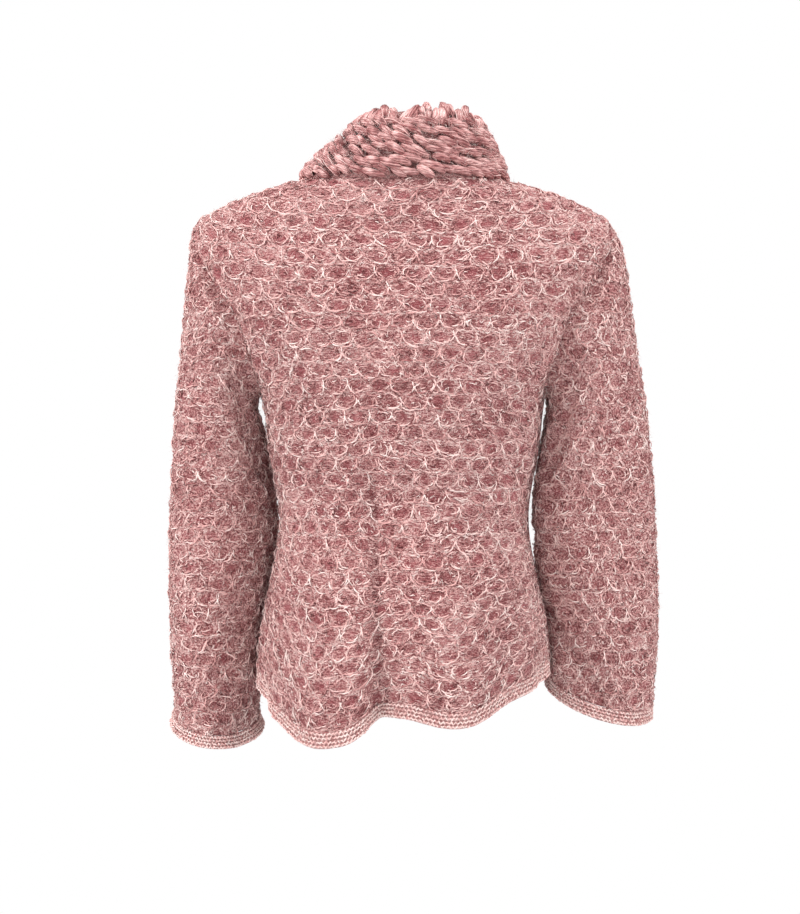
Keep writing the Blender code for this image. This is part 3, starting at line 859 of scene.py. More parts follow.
@dataclass(frozen=True)
class ButtonPlastic:
    """Satin plum plastic with faint clouds."""

    name: str = "button_plastic"
    plum: Colour = (0.150, 0.050, 0.060)
    cloud: Colour = (0.230, 0.085, 0.095)

    def make(self) -> bpy.types.Material:
        """Builds the material.

        Returns:
            The finished material.
        """
        s = Shader(self.name)
        place = s.node("ShaderNodeTexCoord", out="Object")
        swirl = s.noise(place, 240.0, 4.0, 0.55)
        fine = s.noise(place, 2600.0, 2.0)
        base = s.mix(swirl.ramp(0.40, 0.68), self.plum, self.cloud)
        return s.finish(base, 0.30 + swirl * 0.14, s.bump(fine, 0.12, 0.0001))


class Finish(Enum):
    """The finishes. Knit, border, loops and button are also the names of the slots."""

    KNIT = "knit"
    SLEEVE = "sleeve knit"
    BORDER = "border"
    LOOPS = "loops"
    BUTTON = "button"
    FIBRE = "fibre"
    YARN = "yarn"


@dataclass
class Wardrobe:
    """Makes each finish once and puts it on pieces."""

    made: dict = field(default_factory=dict)
    triangles: int = 0

    def material(self, finish: Finish) -> bpy.types.Material:
        """The material of a finish, which is made when it is first wanted.

        Args:
            finish: The finish.

        Returns:
            Its material.
        """
        sleeve = partial(HoneycombKnit, "sleeve_knit", across=9.0, up=7.0, clarity=0.7)
        kinds = {
            Finish.KNIT: HoneycombKnit,
            Finish.SLEEVE: sleeve,
            Finish.BORDER: GarterKnit,
            Finish.LOOPS: PliedYarn,
            Finish.BUTTON: ButtonPlastic,
            Finish.FIBRE: MohairFibre,
            Finish.YARN: SpaceDyedYarn,
        }
        if finish not in self.made:
            self.made[finish] = kinds[finish]().make()
        return self.made[finish]

    def dress(self, piece: bpy.types.Object, finish: Finish, slot: str) -> None:
        """Gives a piece its material, and lets it ride on the root.

        Args:
            piece: The piece.
            finish: Its finish.
            slot: The record's material slot. Not used.
        """
        piece.data.materials.clear()
        piece.data.materials.append(self.material(finish))
        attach(piece, "root")
        piece.data.calc_loop_triangles()
        self.triangles += len(piece.data.loop_triangles)
        LOG.info("%s: %d triangles in %s", piece.name, len(piece.data.loop_triangles), finish.value)


def arc_lengths(points: Grid) -> Grid:
    """The length along each row of a grid of points, from its first column."""
    steps = np.linalg.norm(np.diff(points, axis=1), axis=-1)
    return np.concatenate([np.zeros((len(points), 1)), np.cumsum(steps, axis=1)], axis=1)


def grid_normals(points: Grid, closed: bool) -> Grid:
    """Finds the outward directions of a grid of points.

    Args:
        points: Rows go up and columns go round.
        closed: Whether the last column is the first one again.

    Returns:
        Directions of length 1.
    """
    if closed:
        ring = points[:, :-1]
        around = np.roll(ring, -1, axis=1) - np.roll(ring, 1, axis=1)
        around = np.concatenate([around, around[:, :1]], axis=1)
    else:
        around = np.gradient(points, axis=1)
    return unit(np.cross(np.gradient(points, axis=0), around))


def honeycomb_relief(u: Grid, v: Grid) -> Grid:
    """How far the honeycomb stands out, from hollow ovals to raised knots, in metres.

    Args:
        u: Places across, in ovals.
        v: Places up, in rows.

    Returns:
        The relief at each place.
    """
    row = np.floor(v)
    cu = np.mod(u + 0.5 * np.mod(row, 2), 1) - 0.5
    cv = v - row - 0.5
    oval_form = smooth_step(1.5 * (1 - (cu / 0.46) ** 2 - (cv / 0.50) ** 2))
    knot = np.exp(-(((np.abs(cu) - 0.5) / 0.16) ** 2) - (cv / 0.26) ** 2)
    return 0.0011 * knot - 0.0010 * oval_form + 0.0003


def uneven(u: Grid, v: Grid, amount: float) -> tuple:
    """Shifts stitches a little from their even places.

    Args:
        u: Places across, in ovals.
        v: Places up, in rows.
        amount: How far they stray.

    Returns:
        The shifted places.
    """
    across = np.sin(0.9 * u + 1.7 * v) + np.sin(2.3 * u - 0.8 * v + 1.0) * 0.6
    up = np.sin(1.1 * u - 0.6 * v + 2.0) + np.sin(2.9 * u + 0.4 * v) * 0.6
    return u + amount * across, v + amount * up


def dip(away: Grid, depth: float, width: float) -> Grid:
    """A soft groove along an edge or seam, by how far away it is."""
    return depth * np.exp(-((away / width) ** 2))


def puckers(u: Grid, v: Grid) -> Grid:
    """Slow waves of the brushed cloth over several stitches."""
    return 0.0004 * np.sin(u * 0.83 + v * 0.37) * np.sin(u * 0.31 - v * 0.59)


def garter_relief(v: Grid, height: float = 0.0003) -> Grid:
    """How far garter ridges stand out. V counts ridges."""
    return height * np.sin(math.pi * v) ** 2


@dataclass
class Shell:
    """A thin closed shell of cloth between a fine outside and a coarser inside."""

    name: str
    outer: Grid
    inner: Grid
    uv: Grid
    closed: bool = False
    step: int = 4

    def build(self) -> bpy.types.Object:
        """Makes the mesh.

        Returns:
            The object, with stitches counted in its UV map.
        """
        rows, columns = self.outer.shape[:2]
        inner = self.inner[:: self.step, :: self.step]
        inner_uv = self.uv[:: self.step, :: self.step]
        wrap = columns - 1 if self.closed else columns
        inner_wrap = inner.shape[1] - 1 if self.closed else inner.shape[1]
        places = [self.outer[:, :wrap].reshape(-1, 3), inner[:, :inner_wrap].reshape(-1, 3)]
        start = rows * wrap
        faces, corners = self.quads(self.outer.shape[:2], wrap, 0, self.uv)
        more, more_corners = self.quads(inner.shape[:2], inner_wrap, start, inner_uv)
        faces, corners = faces + more, corners + more_corners
        for end, inner_end in ((0, 0), (rows - 1, inner.shape[0] - 1)):
            outside = [end * wrap + i % wrap for i in range(columns)]
            inside = [
                start + inner_end * inner_wrap + i % inner_wrap for i in range(inner.shape[1])
            ]
            self.rim(outside, inside, self.uv[end], faces, corners)
        if not self.closed:
            for end, inner_end in ((0, 0), (columns - 1, inner.shape[1] - 1)):
                outside = [i * wrap + end for i in range(rows)]
                inside = [start + i * inner_wrap + inner_end for i in range(inner.shape[0])]
                self.rim(outside, inside, self.uv[:, end], faces, corners)
        piece = mesh_piece(self.name, np.concatenate(places), faces, corners)
        piece.data.set_sharp_from_angle(angle=math.radians(60))
        return piece

    def quads(self, shape: tuple, wrap: int, start: int, uv: Grid) -> tuple:
        """The faces of one side, and their UV corners.

        Args:
            shape: The side's rows and columns.
            wrap: How many columns of vertices it has.
            start: The number of its first vertex.
            uv: Its UV places.

        Returns:
            The faces and the UV corners.
        """
        r, c = np.meshgrid(np.arange(shape[0] - 1), np.arange(shape[1] - 1), indexing="ij")
        corner = [(r, c), (r + 1, c), (r + 1, c + 1), (r, c + 1)]
        faces = np.stack([start + i * wrap + j % wrap for i, j in corner], axis=-1)
        corners = np.stack([uv[i, j] for i, j in corner], axis=-2)
        return faces.reshape(-1, 4).tolist(), corners.reshape(-1, 2).tolist()

    def rim(self, outside: list, inside: list, uv: Grid, faces: list, corners: list) -> None:
        """Adds the faces between the outer and the inner edge of one rim.

        Args:
            outside: The outer edge's vertices.
            inside: The inner edge's vertices.
            uv: The outer edge's UV places.
            faces: The list of faces, which grows.
            corners: The list of UV corners, which grows.
        """
        for i in range(len(inside) - 1):
            low, high = i * self.step, min((i + 1) * self.step, len(outside) - 1)
            part = outside[low : high + 1]
            faces.append(part + [inside[i + 1], inside[i]])
            at = [*uv[low : high + 1], uv[high], uv[low]]
            corners.extend(np.array(at).tolist())


def sample(grid: Grid, r: Grid, c: Grid) -> Grid:
    """Reads a grid smoothly between its places.

    Args:
        grid: Rows and columns of values or points.
        r: Rows to read at, which may lie between two.
        c: Columns to read at.

    Returns:
        The values there.
    """
    i = np.clip(np.floor(r).astype(int), 0, grid.shape[0] - 2)
    j = np.clip(np.floor(c).astype(int), 0, grid.shape[1] - 2)
    a, b = r - i, c - j
    if grid.ndim == 3:
        a, b = a[..., None], b[..., None]
    low = grid[i, j] * (1 - a) + grid[i + 1, j] * a
    high = grid[i, j + 1] * (1 - a) + grid[i + 1, j + 1] * a
    return low * (1 - b) + high * b


@dataclass
class Cloth:
    """The outside of a finished panel, on which yarns and hairs are placed by stitches."""

    points: Grid
    out: Grid
    uv: Grid

    def place(self, u: Grid, v: Grid) -> tuple:
        """Finds places of the UV map on the cloth.

        Args:
            u: Places across, in stitches.
            v: Places up, in rows.

        Returns:
            The points there, the outward directions, and whether each lies on the cloth.
        """
        across, up = self.uv[..., 0], self.uv[..., 1]
        slopes = [*np.gradient(across), *np.gradient(up)]
        rows, columns = across.shape
        r = np.full(u.shape, rows / 2.0)
        c = np.full(u.shape, columns / 2.0)
        for _ in range(24):
            miss_u, miss_v = u - sample(across, r, c), v - sample(up, r, c)
            a, b, d, e = (sample(slope, r, c) for slope in slopes)
            det = a * e - b * d
            det = np.where(np.abs(det) < 1e-7, 1e-7, det)
            r = np.clip(r + np.clip((miss_u * e - b * miss_v) / det, -20, 20), 0, rows - 1)
            c = np.clip(c + np.clip((a * miss_v - d * miss_u) / det, -20, 20), 0, columns - 1)
        miss = np.abs(u - sample(across, r, c)) + np.abs(v - sample(up, r, c))
        return sample(self.points, r, c), unit(sample(self.out, r, c)), miss < 0.1


@dataclass
class Yarns:
    """Many slim yarns as one piece, each a closed tube of few faces."""

    name: str
    cloth: Cloth
    slot: str
    sides: int = 3
    parts: list = field(default_factory=list)

    def lay(self, u: Grid, v: Grid, lift: Grid, radius: Grid, tone: Grid) -> None:
        """Lays yarns on the cloth. Those whose middle misses it are left out.

        Args:
            u: Each yarn's places across, one row for each yarn.
            v: Its places up.
            lift: How far it lies above the cloth at each place.
            radius: How thick it is at each place.
            tone: Its tone, from 0 for plum to 1 for cream.
        """
        points, out, on = self.cloth.place(u, v)
        kept = on[:, on.shape[1] // 2] & (on.sum(1) >= on.shape[1] - 1)
        path = points + lift[..., None] * out
        self.parts.append([a[kept] for a in (path, out, radius, tone)])

    def tubes(self, path: Grid, out: Grid, radius: Grid, tone: Grid, start: int) -> tuple:
        """Makes the tubes of yarns that have the same number of places.

        Args:
            path: The places of each yarn.
            out: The cloth's directions there.
            radius: The yarn's thickness there.
            tone: The tone of each yarn.
            start: The number of the first vertex.

        Returns:
            Places, faces and UV corners.
        """
        count, steps, n = path.shape[0], path.shape[1], self.sides
        along = unit(np.gradient(path, axis=1))
        side = unit(np.cross(along, out))
        other = np.cross(side, along)
        turn = np.arange(n) * 2 * math.pi / n + 0.5
        ring = side[:, :, None] * np.cos(turn)[:, None] + other[:, :, None] * np.sin(turn)[:, None]
        places = path[:, :, None] + radius[:, :, None, None] * ring
        length = arc_lengths(path)
        i, j = np.meshgrid(np.arange(steps - 1), np.arange(n), indexing="ij")
        k = (j + 1) % n
        quad = np.stack([i * n + j, (i + 1) * n + j, (i + 1) * n + k, i * n + k], axis=-1)
        first = start + np.arange(count)[:, None, None] * steps * n
        faces = (first + quad.reshape(1, -1, 4)).reshape(-1, 4).tolist()
        row = np.stack([i, i + 1, i + 1, i], axis=-1).reshape(-1, 4)
        up = length[:, row]
        corners = np.stack([np.broadcast_to(tone[:, None, None], up.shape), up], axis=-1)
        corners = corners.reshape(-1, 2).tolist()
        ends = np.array([list(range(n)), [(steps - 1) * n + x for x in range(n)][::-1]])
        faces += (first + ends[None]).reshape(-1, n).tolist()
        at = np.stack([np.zeros(count), length[:, -1]], axis=1)[:, :, None] * np.ones(n)
        cap = np.stack([np.broadcast_to(tone[:, None, None], at.shape), at], axis=-1)
        corners += cap.reshape(-1, 2).tolist()
        return places.reshape(-1, 3), faces, corners

    def build(self, wardrobe: "Wardrobe") -> bpy.types.Object:
        """Makes all the yarns one dressed piece.

        Args:
            wardrobe: The finishes.

        Returns:
            The piece.
        """
        places, faces, corners, start = [], [], [], 0
        for part in self.parts:
            made = self.tubes(*part, start)
            places.append(made[0])
            faces += made[1]
            corners += made[2]
            start += len(made[0])
        piece = mesh_piece(self.name, np.concatenate(places), faces, corners)
        wardrobe.dress(piece, Finish.YARN, self.slot)
        return piece


def mesh_piece(name: str, places: Grid, faces: list, corners: list) -> bpy.types.Object:
    """Makes a smooth object from places, faces and UV corners.

    Args:
        name: Its name.
        places: Its vertices.
        faces: Its faces, as lists of vertices.
        corners: The UV place of each corner of each face.

    Returns:
        The object, with its faces turned outwards.
    """
    data = bpy.data.meshes.new(name)
    data.from_pydata(places.tolist(), [], faces)
    layer = data.uv_layers.new(name="stitches")
    layer.data.foreach_set("uv", np.array(corners, np.float32).ravel())
    mesh = bmesh.new()
    mesh.from_mesh(data)
    bmesh.ops.recalc_face_normals(mesh, faces=mesh.faces)
    mesh.to_mesh(data)
    mesh.free()
    data.shade_smooth()
    piece = bpy.data.objects.new(name, data)
    bpy.context.scene.collection.objects.link(piece)
    return piece


class Ovals(NamedTuple):
    """The middles of many ovals across and up, and their own tones."""

    u: Grid
    v: Grid
    tone: Grid


@dataclass
class HoneycombYarns:
    """The strands, knots and curls of the honeycomb relief on one panel."""

    name: str
    cloth: Cloth
    seed: int
    rings: int = 5
    curls: int = 13
    stray: float = 0.035
    turn: float = 0.40
    knots: float = 0.7

    def __post_init__(self) -> None:
        """Opens the source of chance, and the piece that the yarns go to."""
        self.chance = np.random.default_rng(self.seed)
        self.yarns = Yarns(self.name, self.cloth, "knit")

    def build(self, wardrobe: "Wardrobe") -> bpy.types.Object:
        """Lays all the yarns and makes them one piece.

        Args:
            wardrobe: The finishes.

        Returns:
            The piece.
        """
        chance = self.chance
        across, up = self.cloth.uv[..., 0], self.cloth.uv[..., 1]
        rows = np.arange(math.floor(up.min()) - 1, math.ceil(up.max()) + 1)
        numbers = np.arange(math.floor(across.min()) - 1, math.ceil(across.max()) + 2)
        row, number = (a.ravel() for a in np.meshgrid(rows, numbers, indexing="ij"))
        middle_u = number + 0.5 - 0.5 * np.mod(row, 2)
        middle_v = row + 0.5
        paleness = np.sin(row * 2.4 + np.sin(middle_u * 0.35 + row) * 1.7)
        oval_tone = chance.normal(size=row.shape) * 0.09 + paleness * 0.08
        ovals = Ovals(middle_u, middle_v, oval_tone)
        for _ in range(self.rings):
            self.ring_part(ovals)
        for _ in range(self.curls):
            self.curl(ovals)
        self.row_strand(ovals)
        kept = chance.random(row.shape) < self.knots
        knots = Ovals(middle_u[kept] + 0.5, middle_v[kept], oval_tone[kept])
        self.knot(knots)
        return self.yarns.build(wardrobe)

    def ring_part(self, ovals: Ovals) -> None:
        """Lays one curved strand along the rim of each oval, most at its sides and foot.

        Args:
            ovals: The ovals.
        """
        u, v, tone = ovals
        chance = self.chance
        t = np.linspace(-1, 1, 4)[None]
        count = (len(u), 1)
        reach = chance.choice((0.64, 0.82, 0.98, 1.04), count) * chance.uniform(0.93, 1.07, count)
        turn = -math.pi / 2 + chance.normal(size=count) * 1.3
        turn = turn + chance.uniform(0.28, 0.66, count) * t
        reach = reach + chance.normal(size=count) * 0.14 * t
        stray = chance.normal(size=(2, len(u), 1)) * self.stray * 1.6
        cu = 0.44 * reach * np.cos(turn) + stray[0]
        cv = 0.45 * reach * np.sin(turn) + stray[1] * 1.3
        lift = (0.0006 + 0.0007 * reach) * chance.uniform(0.6, 1.25, count) * (1.1 - 0.5 * t**2)
        radius = chance.uniform(0.00050, 0.00074, count) * (1 - 0.4 * t**4)
        # Rings that lie further in are darker: partly the ground's own tone, partly painted shade
        # of the oval's hollow.
        own = 0.56 + 0.13 * reach[:, 1] + tone + chance.normal(size=len(u)) * 0.17
        self.yarns.lay(u[:, None] + cu, v[:, None] + cv, lift, radius, own)

    def curl(self, ovals: Ovals) -> None:
        """Lays one short bent yarn in each oval or beside it.

        Args:
            ovals: The ovals.
        """
        u, v, tone = ovals
        chance = self.chance
        t = np.linspace(-1, 1, 3)[None]
        count = (len(u), 1)
        place_u = chance.uniform(-0.5, 0.5, count)
        place_v = chance.uniform(-0.5, 0.5, count)
        half = chance.uniform(0.05, 0.11, count)
        turn = chance.normal(size=count) * self.turn
        bend = chance.normal(size=count) * 0.12
        along, aside = half * t, bend * (1 - t**2)
        cu = place_u + along * np.cos(turn) - aside * np.sin(turn) * 0.7
        cv = place_v + along * np.sin(turn) * 1.5 + aside * np.cos(turn)
        # Curls near an oval's middle are darker: partly the ground's own raspberry, partly painted
        # shade of the oval's hollow.
        centred = (1 - (place_u / 0.45) ** 2 - (place_v / 0.5) ** 2).clip(-0.4, 1)
        own = 0.58 - 0.20 * centred[:, 0] + tone + chance.normal(size=len(u)) * 0.34
        lift = chance.uniform(0.0001, 0.0011, count) * (1.2 - 0.9 * t**2)
        radius = chance.uniform(0.00044, 0.00072, count) * (1 - 0.45 * t**4)
        self.yarns.lay(u[:, None] + cu, v[:, None] + cv, lift, radius, own)

    def row_strand(self, ovals: Ovals) -> None:
        """Lays one long wavy strand between two rows of ovals.

        Args:
            ovals: The ovals.
        """
        u, v, tone = ovals
        chance = self.chance
        t = np.linspace(-1, 1, 4)[None]
        count = (len(u), 1)
        wave = np.sin(t * chance.uniform(2, 4, count) + chance.uniform(0, 6.3, count))
        cu = chance.uniform(-0.5, 0.5, count) + chance.uniform(0.10, 0.24, count) * t
        cv = 0.5 + chance.normal(size=count) * 0.08 + 0.05 * wave
        lift = chance.uniform(0.0008, 0.0016, count) * (1.1 - 0.5 * t**2)
        radius = chance.uniform(0.00045, 0.00065, count) * (1 - 0.4 * t**4)
        own = 0.66 + tone + chance.normal(size=len(u)) * 0.20
        self.yarns.lay(u[:, None] + cu, v[:, None] + cv, lift, radius, own)

    def knot(self, ovals: Ovals) -> None:
        """Lays a fan of pale yarns that leave the place where two ovals meet.

        Args:
            ovals: The knots' places, and the tones of their ovals.
        """
        u, v, tone = ovals
        chance = self.chance
        t = np.linspace(0, 1, 3)[None]
        count = (len(u), 1)
        paler = 0.80 + 0.5 * tone + 0.12 * chance.normal(size=len(u))
        for side, fall in ((-1.0, -0.36), (1.0, -0.36), (0.25, 0.30)):
            spread = side * chance.uniform(0.08, 0.19, count)
            drop = fall * chance.uniform(0.7, 1.3, count)
            cu = spread * t**1.4 + chance.normal(size=count) * 0.02
            cv = 0.07 + drop * t + chance.normal(size=count) * 0.03
            lift = 0.0016 * chance.uniform(0.7, 1.1, count) * (1 - 0.5 * t)
            radius = chance.uniform(0.00055, 0.00080, count) * (1 - 0.4 * t**2)
            own = paler + chance.normal(size=len(u)) * 0.08
            self.yarns.lay(u[:, None] + cu, v[:, None] + cv, lift, radius, own)


@dataclass
class GarterYarns:
    """The purl bumps of a garter border: short arches that lock into each other."""

    name: str
    cloth: Cloth
    seed: int
    slot: str = "border"

    def build(self, wardrobe: "Wardrobe") -> bpy.types.Object:
        """Lays the bumps and makes them one piece.

        Args:
            wardrobe: The finishes.

        Returns:
            The piece.
        """
        chance = np.random.default_rng(self.seed)
        across, up = self.cloth.uv[..., 0], self.cloth.uv[..., 1]
        ridges = np.arange(math.floor(up.min() + 0.01), math.ceil(up.max() - 0.01))
        stitches = np.arange(math.floor(across.min()), math.ceil(across.max()))
        v, u = (a.ravel() + 0.5 for a in np.meshgrid(ridges, stitches, indexing="ij"))
        yarns = Yarns(self.name, self.cloth, self.slot)
        t = np.linspace(-1, 1, 3)[None]
        count = (len(u), 1)
        for shift, slant in ((-0.25, 1.0), (0.25, -1.0)):
            stray = chance.normal(size=(2, len(u), 1)) * 0.08
            cu = t * 0.30 + shift + stray[0] + 0.5 * np.mod(v[:, None] - 0.5, 2)
            cv = slant * t * 0.42 * chance.uniform(0.5, 1.2, count) + stray[1]
            cv = cv + 0.14 * (1 - t**2) * chance.uniform(0.3, 1.5, count)
            lift = 0.0002 + 0.0009 * (1 - t**2) * chance.uniform(0.6, 1.4, count)
            radius = chance.uniform(0.00062, 0.00095, count) * (1 - 0.35 * t**4)
            streak = np.sin(u * 0.11 + v * 2.1) * 0.08
            own = 0.84 + streak + chance.normal(size=len(u)) * 0.18
            yarns.lay(u[:, None] + cu, v[:, None] + cv, lift, radius, own)
        return yarns.build(wardrobe)


def whole(count: float, step: int = 4) -> int:
    """A count rounded to a whole number of steps."""
    return max(1, round(count / step)) * step


def lay_yarns(
    wardrobe: Wardrobe, cloth: Cloth, node: str, seed: int, hairs: int, counts: tuple
) -> list:
    """Lays the strands and hairs of honeycomb cloth, or the bumps of a garter border.

    Args:
        wardrobe: The finishes.
        cloth: The cloth that they lie on.
        node: The CAD node that the cloth stands for.
        seed: The seed of their chance.
        hairs: How many hairs there are, 0 on a garter border.
        counts: The first settings of the honeycomb's strands.

    Returns:
        The pieces that were laid.
    """
    if not hairs:
        return [GarterYarns(f"{node}_stitches", cloth, seed).build(wardrobe)]
    strands = HoneycombYarns(f"{node}_strands", cloth, seed, *counts).build(wardrobe)
    return [strands, Fibres(f"{node}_fibres", hairs, cloth, "knit", seed).build(wardrobe)]


@dataclass
class Panel:
    """A piece of the torso's cloth between two angles, with honeycomb or garter relief."""

    name: str
    node: str
    surface: Surface
    levels: tuple
    first: Callable[[Grid], Grid]
    last: Callable[[Grid], Grid]
    seed: int
    finish: Finish = Finish.KNIT
    pitch: float = 0.0030
    anchor: float = 0.5
    rings: int = 5
    curls: int = 13
    hairs: int = 0
    rests_on: tuple = ()
    ridge_turn: bool = False
    ridges: int = 4
    facing: int = 1

    def build(self, wardrobe: Wardrobe) -> None:
        """Builds and dresses the panel with its yarns and hairs.

        Args:
            wardrobe: The finishes.
        """
        low, high = self.levels
        rows = whole((high - low) / self.pitch)
        level = np.linspace(low, high, rows + 1)
        first, last = self.first(level), self.last(level)
        coarse = self.surface(*self.spread(level, first, last, 40))
        columns = whole(arc_lengths(coarse)[:, -1].max() / self.pitch)
        angle, level_grid = self.spread(level, first, last, columns)
        points = self.surface(angle, level_grid)
        out = grid_normals(points, False)
        length = arc_lengths(points)
        total = length[:, -1:]
        count = self.honeycomb if self.finish is Finish.KNIT else self.garter
        u, v, relief = count(length, level_grid)
        outer = points + relief[..., None] * out
        inner = points - SHELL * out
        uv = np.stack([u, v], axis=-1)
        piece = Shell(self.name, outer, inner, uv).build()
        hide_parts(self.node)
        wardrobe.dress(piece, self.finish, self.finish.value)
        cloth = Cloth(outer, out * self.facing, uv)
        counts = (self.rings, self.curls)
        laid = lay_yarns(wardrobe, cloth, self.node, self.seed, self.hairs, counts)
        high - low
        list(self.rests_on)
        float(total.mean() * (high - low))

    def honeycomb(self, length: Grid, level: Grid) -> tuple:
        """Counts the ovals and rows, and works out how far they stand out.

        Args:
            length: How far each point lies from the panel's first edge.
            level: The level of each point.

        Returns:
            The counts across and up, and the relief.
        """
        low, high = self.levels
        total = length[:, -1:]
        side = np.minimum(length, total - length)
        ends = np.minimum(level - low, high - level)
        wider = smooth_step((level - WIDER_FROM) / WIDER_OVER)
        cell = OVAL_WIDTH + (SHOULDER_OVAL_WIDTH - OVAL_WIDTH) * wider
        u, v = uneven((length - self.anchor * total) / cell, level / ROW_HEIGHT, 0.060)
        relief = honeycomb_relief(u, v) * smooth_step(np.minimum(side, ends) / 0.004)
        relief -= dip(side, 0.0006, 0.0050)
        relief -= dip(ends, 0.0006, 0.0030)
        relief += puckers(u, v)
        return u, v, relief

    def garter(self, length: Grid, level: Grid) -> tuple:
        """Counts the stitches and ridges, and works out how far they stand out.

        Args:
            length: How far each point lies from the border's first edge.
            level: The level of each point.

        Returns:
            The counts across and up, and the relief.
        """
        low, high = self.levels
        if self.ridge_turn:
            v = length / length[:, -1:] * self.ridges
            return level / STITCH, v, garter_relief(v)
        u = length / STITCH
        v = (level - low) / (high - low) * self.ridges
        edge = (level - low) / 0.0045
        relief = garter_relief(v)
        relief += 0.0010 * np.exp(-((edge - 0.6) ** 2) * 3)
        relief += 0.0004 * np.sin(u * 1.7) * np.sin(u * 0.31)
        return u, v, relief

    def spread(self, level: Grid, first: Grid, last: Grid, columns: int) -> tuple:
        """Angles and levels of a grid whose rows run from one edge to the other.

        Args:
            level: The levels of the rows.
            first: The angle where each row starts.
            last: The angle where each row ends.
            columns: How many steps a row has.

        Returns:
            The angles and the levels.
        """
        share = np.linspace(0, 1, columns + 1)
        angles = first[:, None] + (last - first)[:, None] * share
        return angles, np.repeat(level[:, None], columns + 1, axis=1)


@dataclass
class Sleeve:
    """A sleeve from its armhole over the cap and down to its cuff border."""

    side: str
    sign: int
    rings: tuple
    creases: tuple
    pitch: float = 0.0034
    border_pitch: float = 0.0012
    girth: float = 0.36
    mean_radius: float = 0.055
    ridges: int = 4
    hairs: int = 4500
    underarm_lead: float = 0.012
    shoulder_lead: float = 0.034

    def armhole(self, angle: Grid) -> tuple:
        """The start of the sleeve at its armhole, and how it sets out from there.

        Args:
            angle: The angles round the sleeve.

        Returns:
            The points on the armhole, and the slopes there.
        """
        share = (1 + np.cos(angle)) / 2
        swing = np.where(np.sin(angle) >= 0, BACK_SWING, -FRONT_SWING)
        turn, level = TORSO.armhole(share, swing)
        mirror = (self.sign, 1, 1)
        start = TORSO.under(self.sign * turn, level) * mirror
        out = normals(TORSO.under, self.sign * turn, level) * mirror
        middle = TORSO.smooth(np.array(math.pi / 2), np.array((UNDERARM + SHOULDER) / 2))
        inwards = middle - start
        inwards = unit(inwards - (inwards * out).sum(-1, keepdims=True) * out)
        flat = smooth_step((share - 0.1) / 0.85)[..., None]
        leaving = unit(flat * inwards + (1 - flat) * out)
        lead = self.underarm_lead + (self.shoulder_lead - self.underarm_lead) * share[..., None]
        return start - 0.0012 * inwards, lead * leaving

    def below_cap(self, angle: Grid, level: Grid) -> Grid:
        """The rings from the cap down.

        Args:
            angle: The angles to look at, in radians.
            level: The levels to look at.

        Returns:
            The points there.
        """
        s = columns_at(self.rings, level)
        across = (1 + np.cos(angle)) / 2
        depth = np.where(np.sin(angle) >= 0, s.back_depth, s.front_depth)
        inner = np.stack([s.inner_x, s.inner_y, s.inner_z], axis=-1)
        outer = np.stack([s.outer_x, s.outer_y, s.outer_z], axis=-1)
        points = inner + (outer - inner) * across[..., None]
        points[..., 1] += depth * np.sin(angle)
        points[..., 2] -= s.tilt * np.sin(angle)
        return points

    def smooth(self, angle: Grid, level: Grid) -> Grid:
        """The sleeve before it is creased, on the left side, over a grid of rows.

        Args:
            angle: The angles to look at, in radians.
            level: The levels to look at.

        Returns:
            The points there.
        """
        cap = self.rings[0].level
        t = np.clip(level / cap, 0, 1)[..., None]
        start, leaving = self.armhole(angle[:1])
        end = self.below_cap(angle[:1], np.full(angle[:1].shape, cap))
        later = self.below_cap(angle[:1], np.full(angle[:1].shape, cap + 0.002))
        arriving = (later - end) / 0.002 * cap
        over_cap = hermite(t, start, leaving, end, arriving)
        below = self.below_cap(angle, np.maximum(level, cap))
        return np.where((level < cap)[..., None], over_cap, below)

    def creased(self, angle: Grid, level: Grid) -> Grid:
        """The sleeve with its creases, on the left side, over a grid of rows.

        Args:
            angle: The angles to look at, in radians.
            level: The levels to look at.

        Returns:
            The points there.
        """
        smooth = self.smooth(angle, level)
        depth = crease_depth(self.creases, self.mean_radius, angle, level)
        fade = smooth_step(level / self.rings[0].level - 0.5)
        return smooth + (depth * fade)[..., None] * grid_normals(smooth, True)

    def build(self, wardrobe: Wardrobe) -> None:
        """Builds and dresses the sleeve and its cuff border.

        Args:
            wardrobe: The finishes.
        """
        cuff, seam = self.rings[-1].level, self.rings[-2].level
        around = math.pi + np.linspace(0, 2 * math.pi, whole(self.girth / self.pitch) + 1)
        level = np.linspace(0, seam, whole((seam + 0.06) / self.pitch) + 1)
        angle, down = np.meshgrid(around, level)
        points = self.creased(angle, down)
        out = grid_normals(points, True)
        u, v = uneven(*self.stitches(points, angle), 0.05)
        relief = honeycomb_relief(u, v) * smooth_step(down / 0.006)
        relief -= dip(down, 0.0006, 0.0050)
        relief -= dip(seam - down, 0.0006, 0.003)
        inner_seam = np.minimum(angle - math.pi, 3 * math.pi - angle) * self.mean_radius
        relief -= dip(inner_seam, 0.0014, 0.003)
        relief += puckers(u, v)
        self.dress(f"{self.side}_sleeve", Finish.KNIT, points, out, relief, u, v, wardrobe)

        border = np.linspace(seam + SEAM_GAP, cuff, whole((cuff - seam) / self.border_pitch) + 1)
        angle, down = np.meshgrid(around, border)
        points = self.creased(angle, down)
        out = grid_normals(points, True)
        share = (down - border[0]) / (border[-1] - border[0])
        u = np.round(CUFF_LENGTH_ROUND / STITCH) * (angle - math.pi) / (2 * math.pi)
        v = share * self.ridges
        relief = garter_relief(v) + 0.0012 * np.exp(-((3 * (1 - share) - 0.4) ** 2) * 2)
        name = f"cuff_border_{self.side}"
        self.dress(name, Finish.BORDER, points, out, relief, u, v, wardrobe)

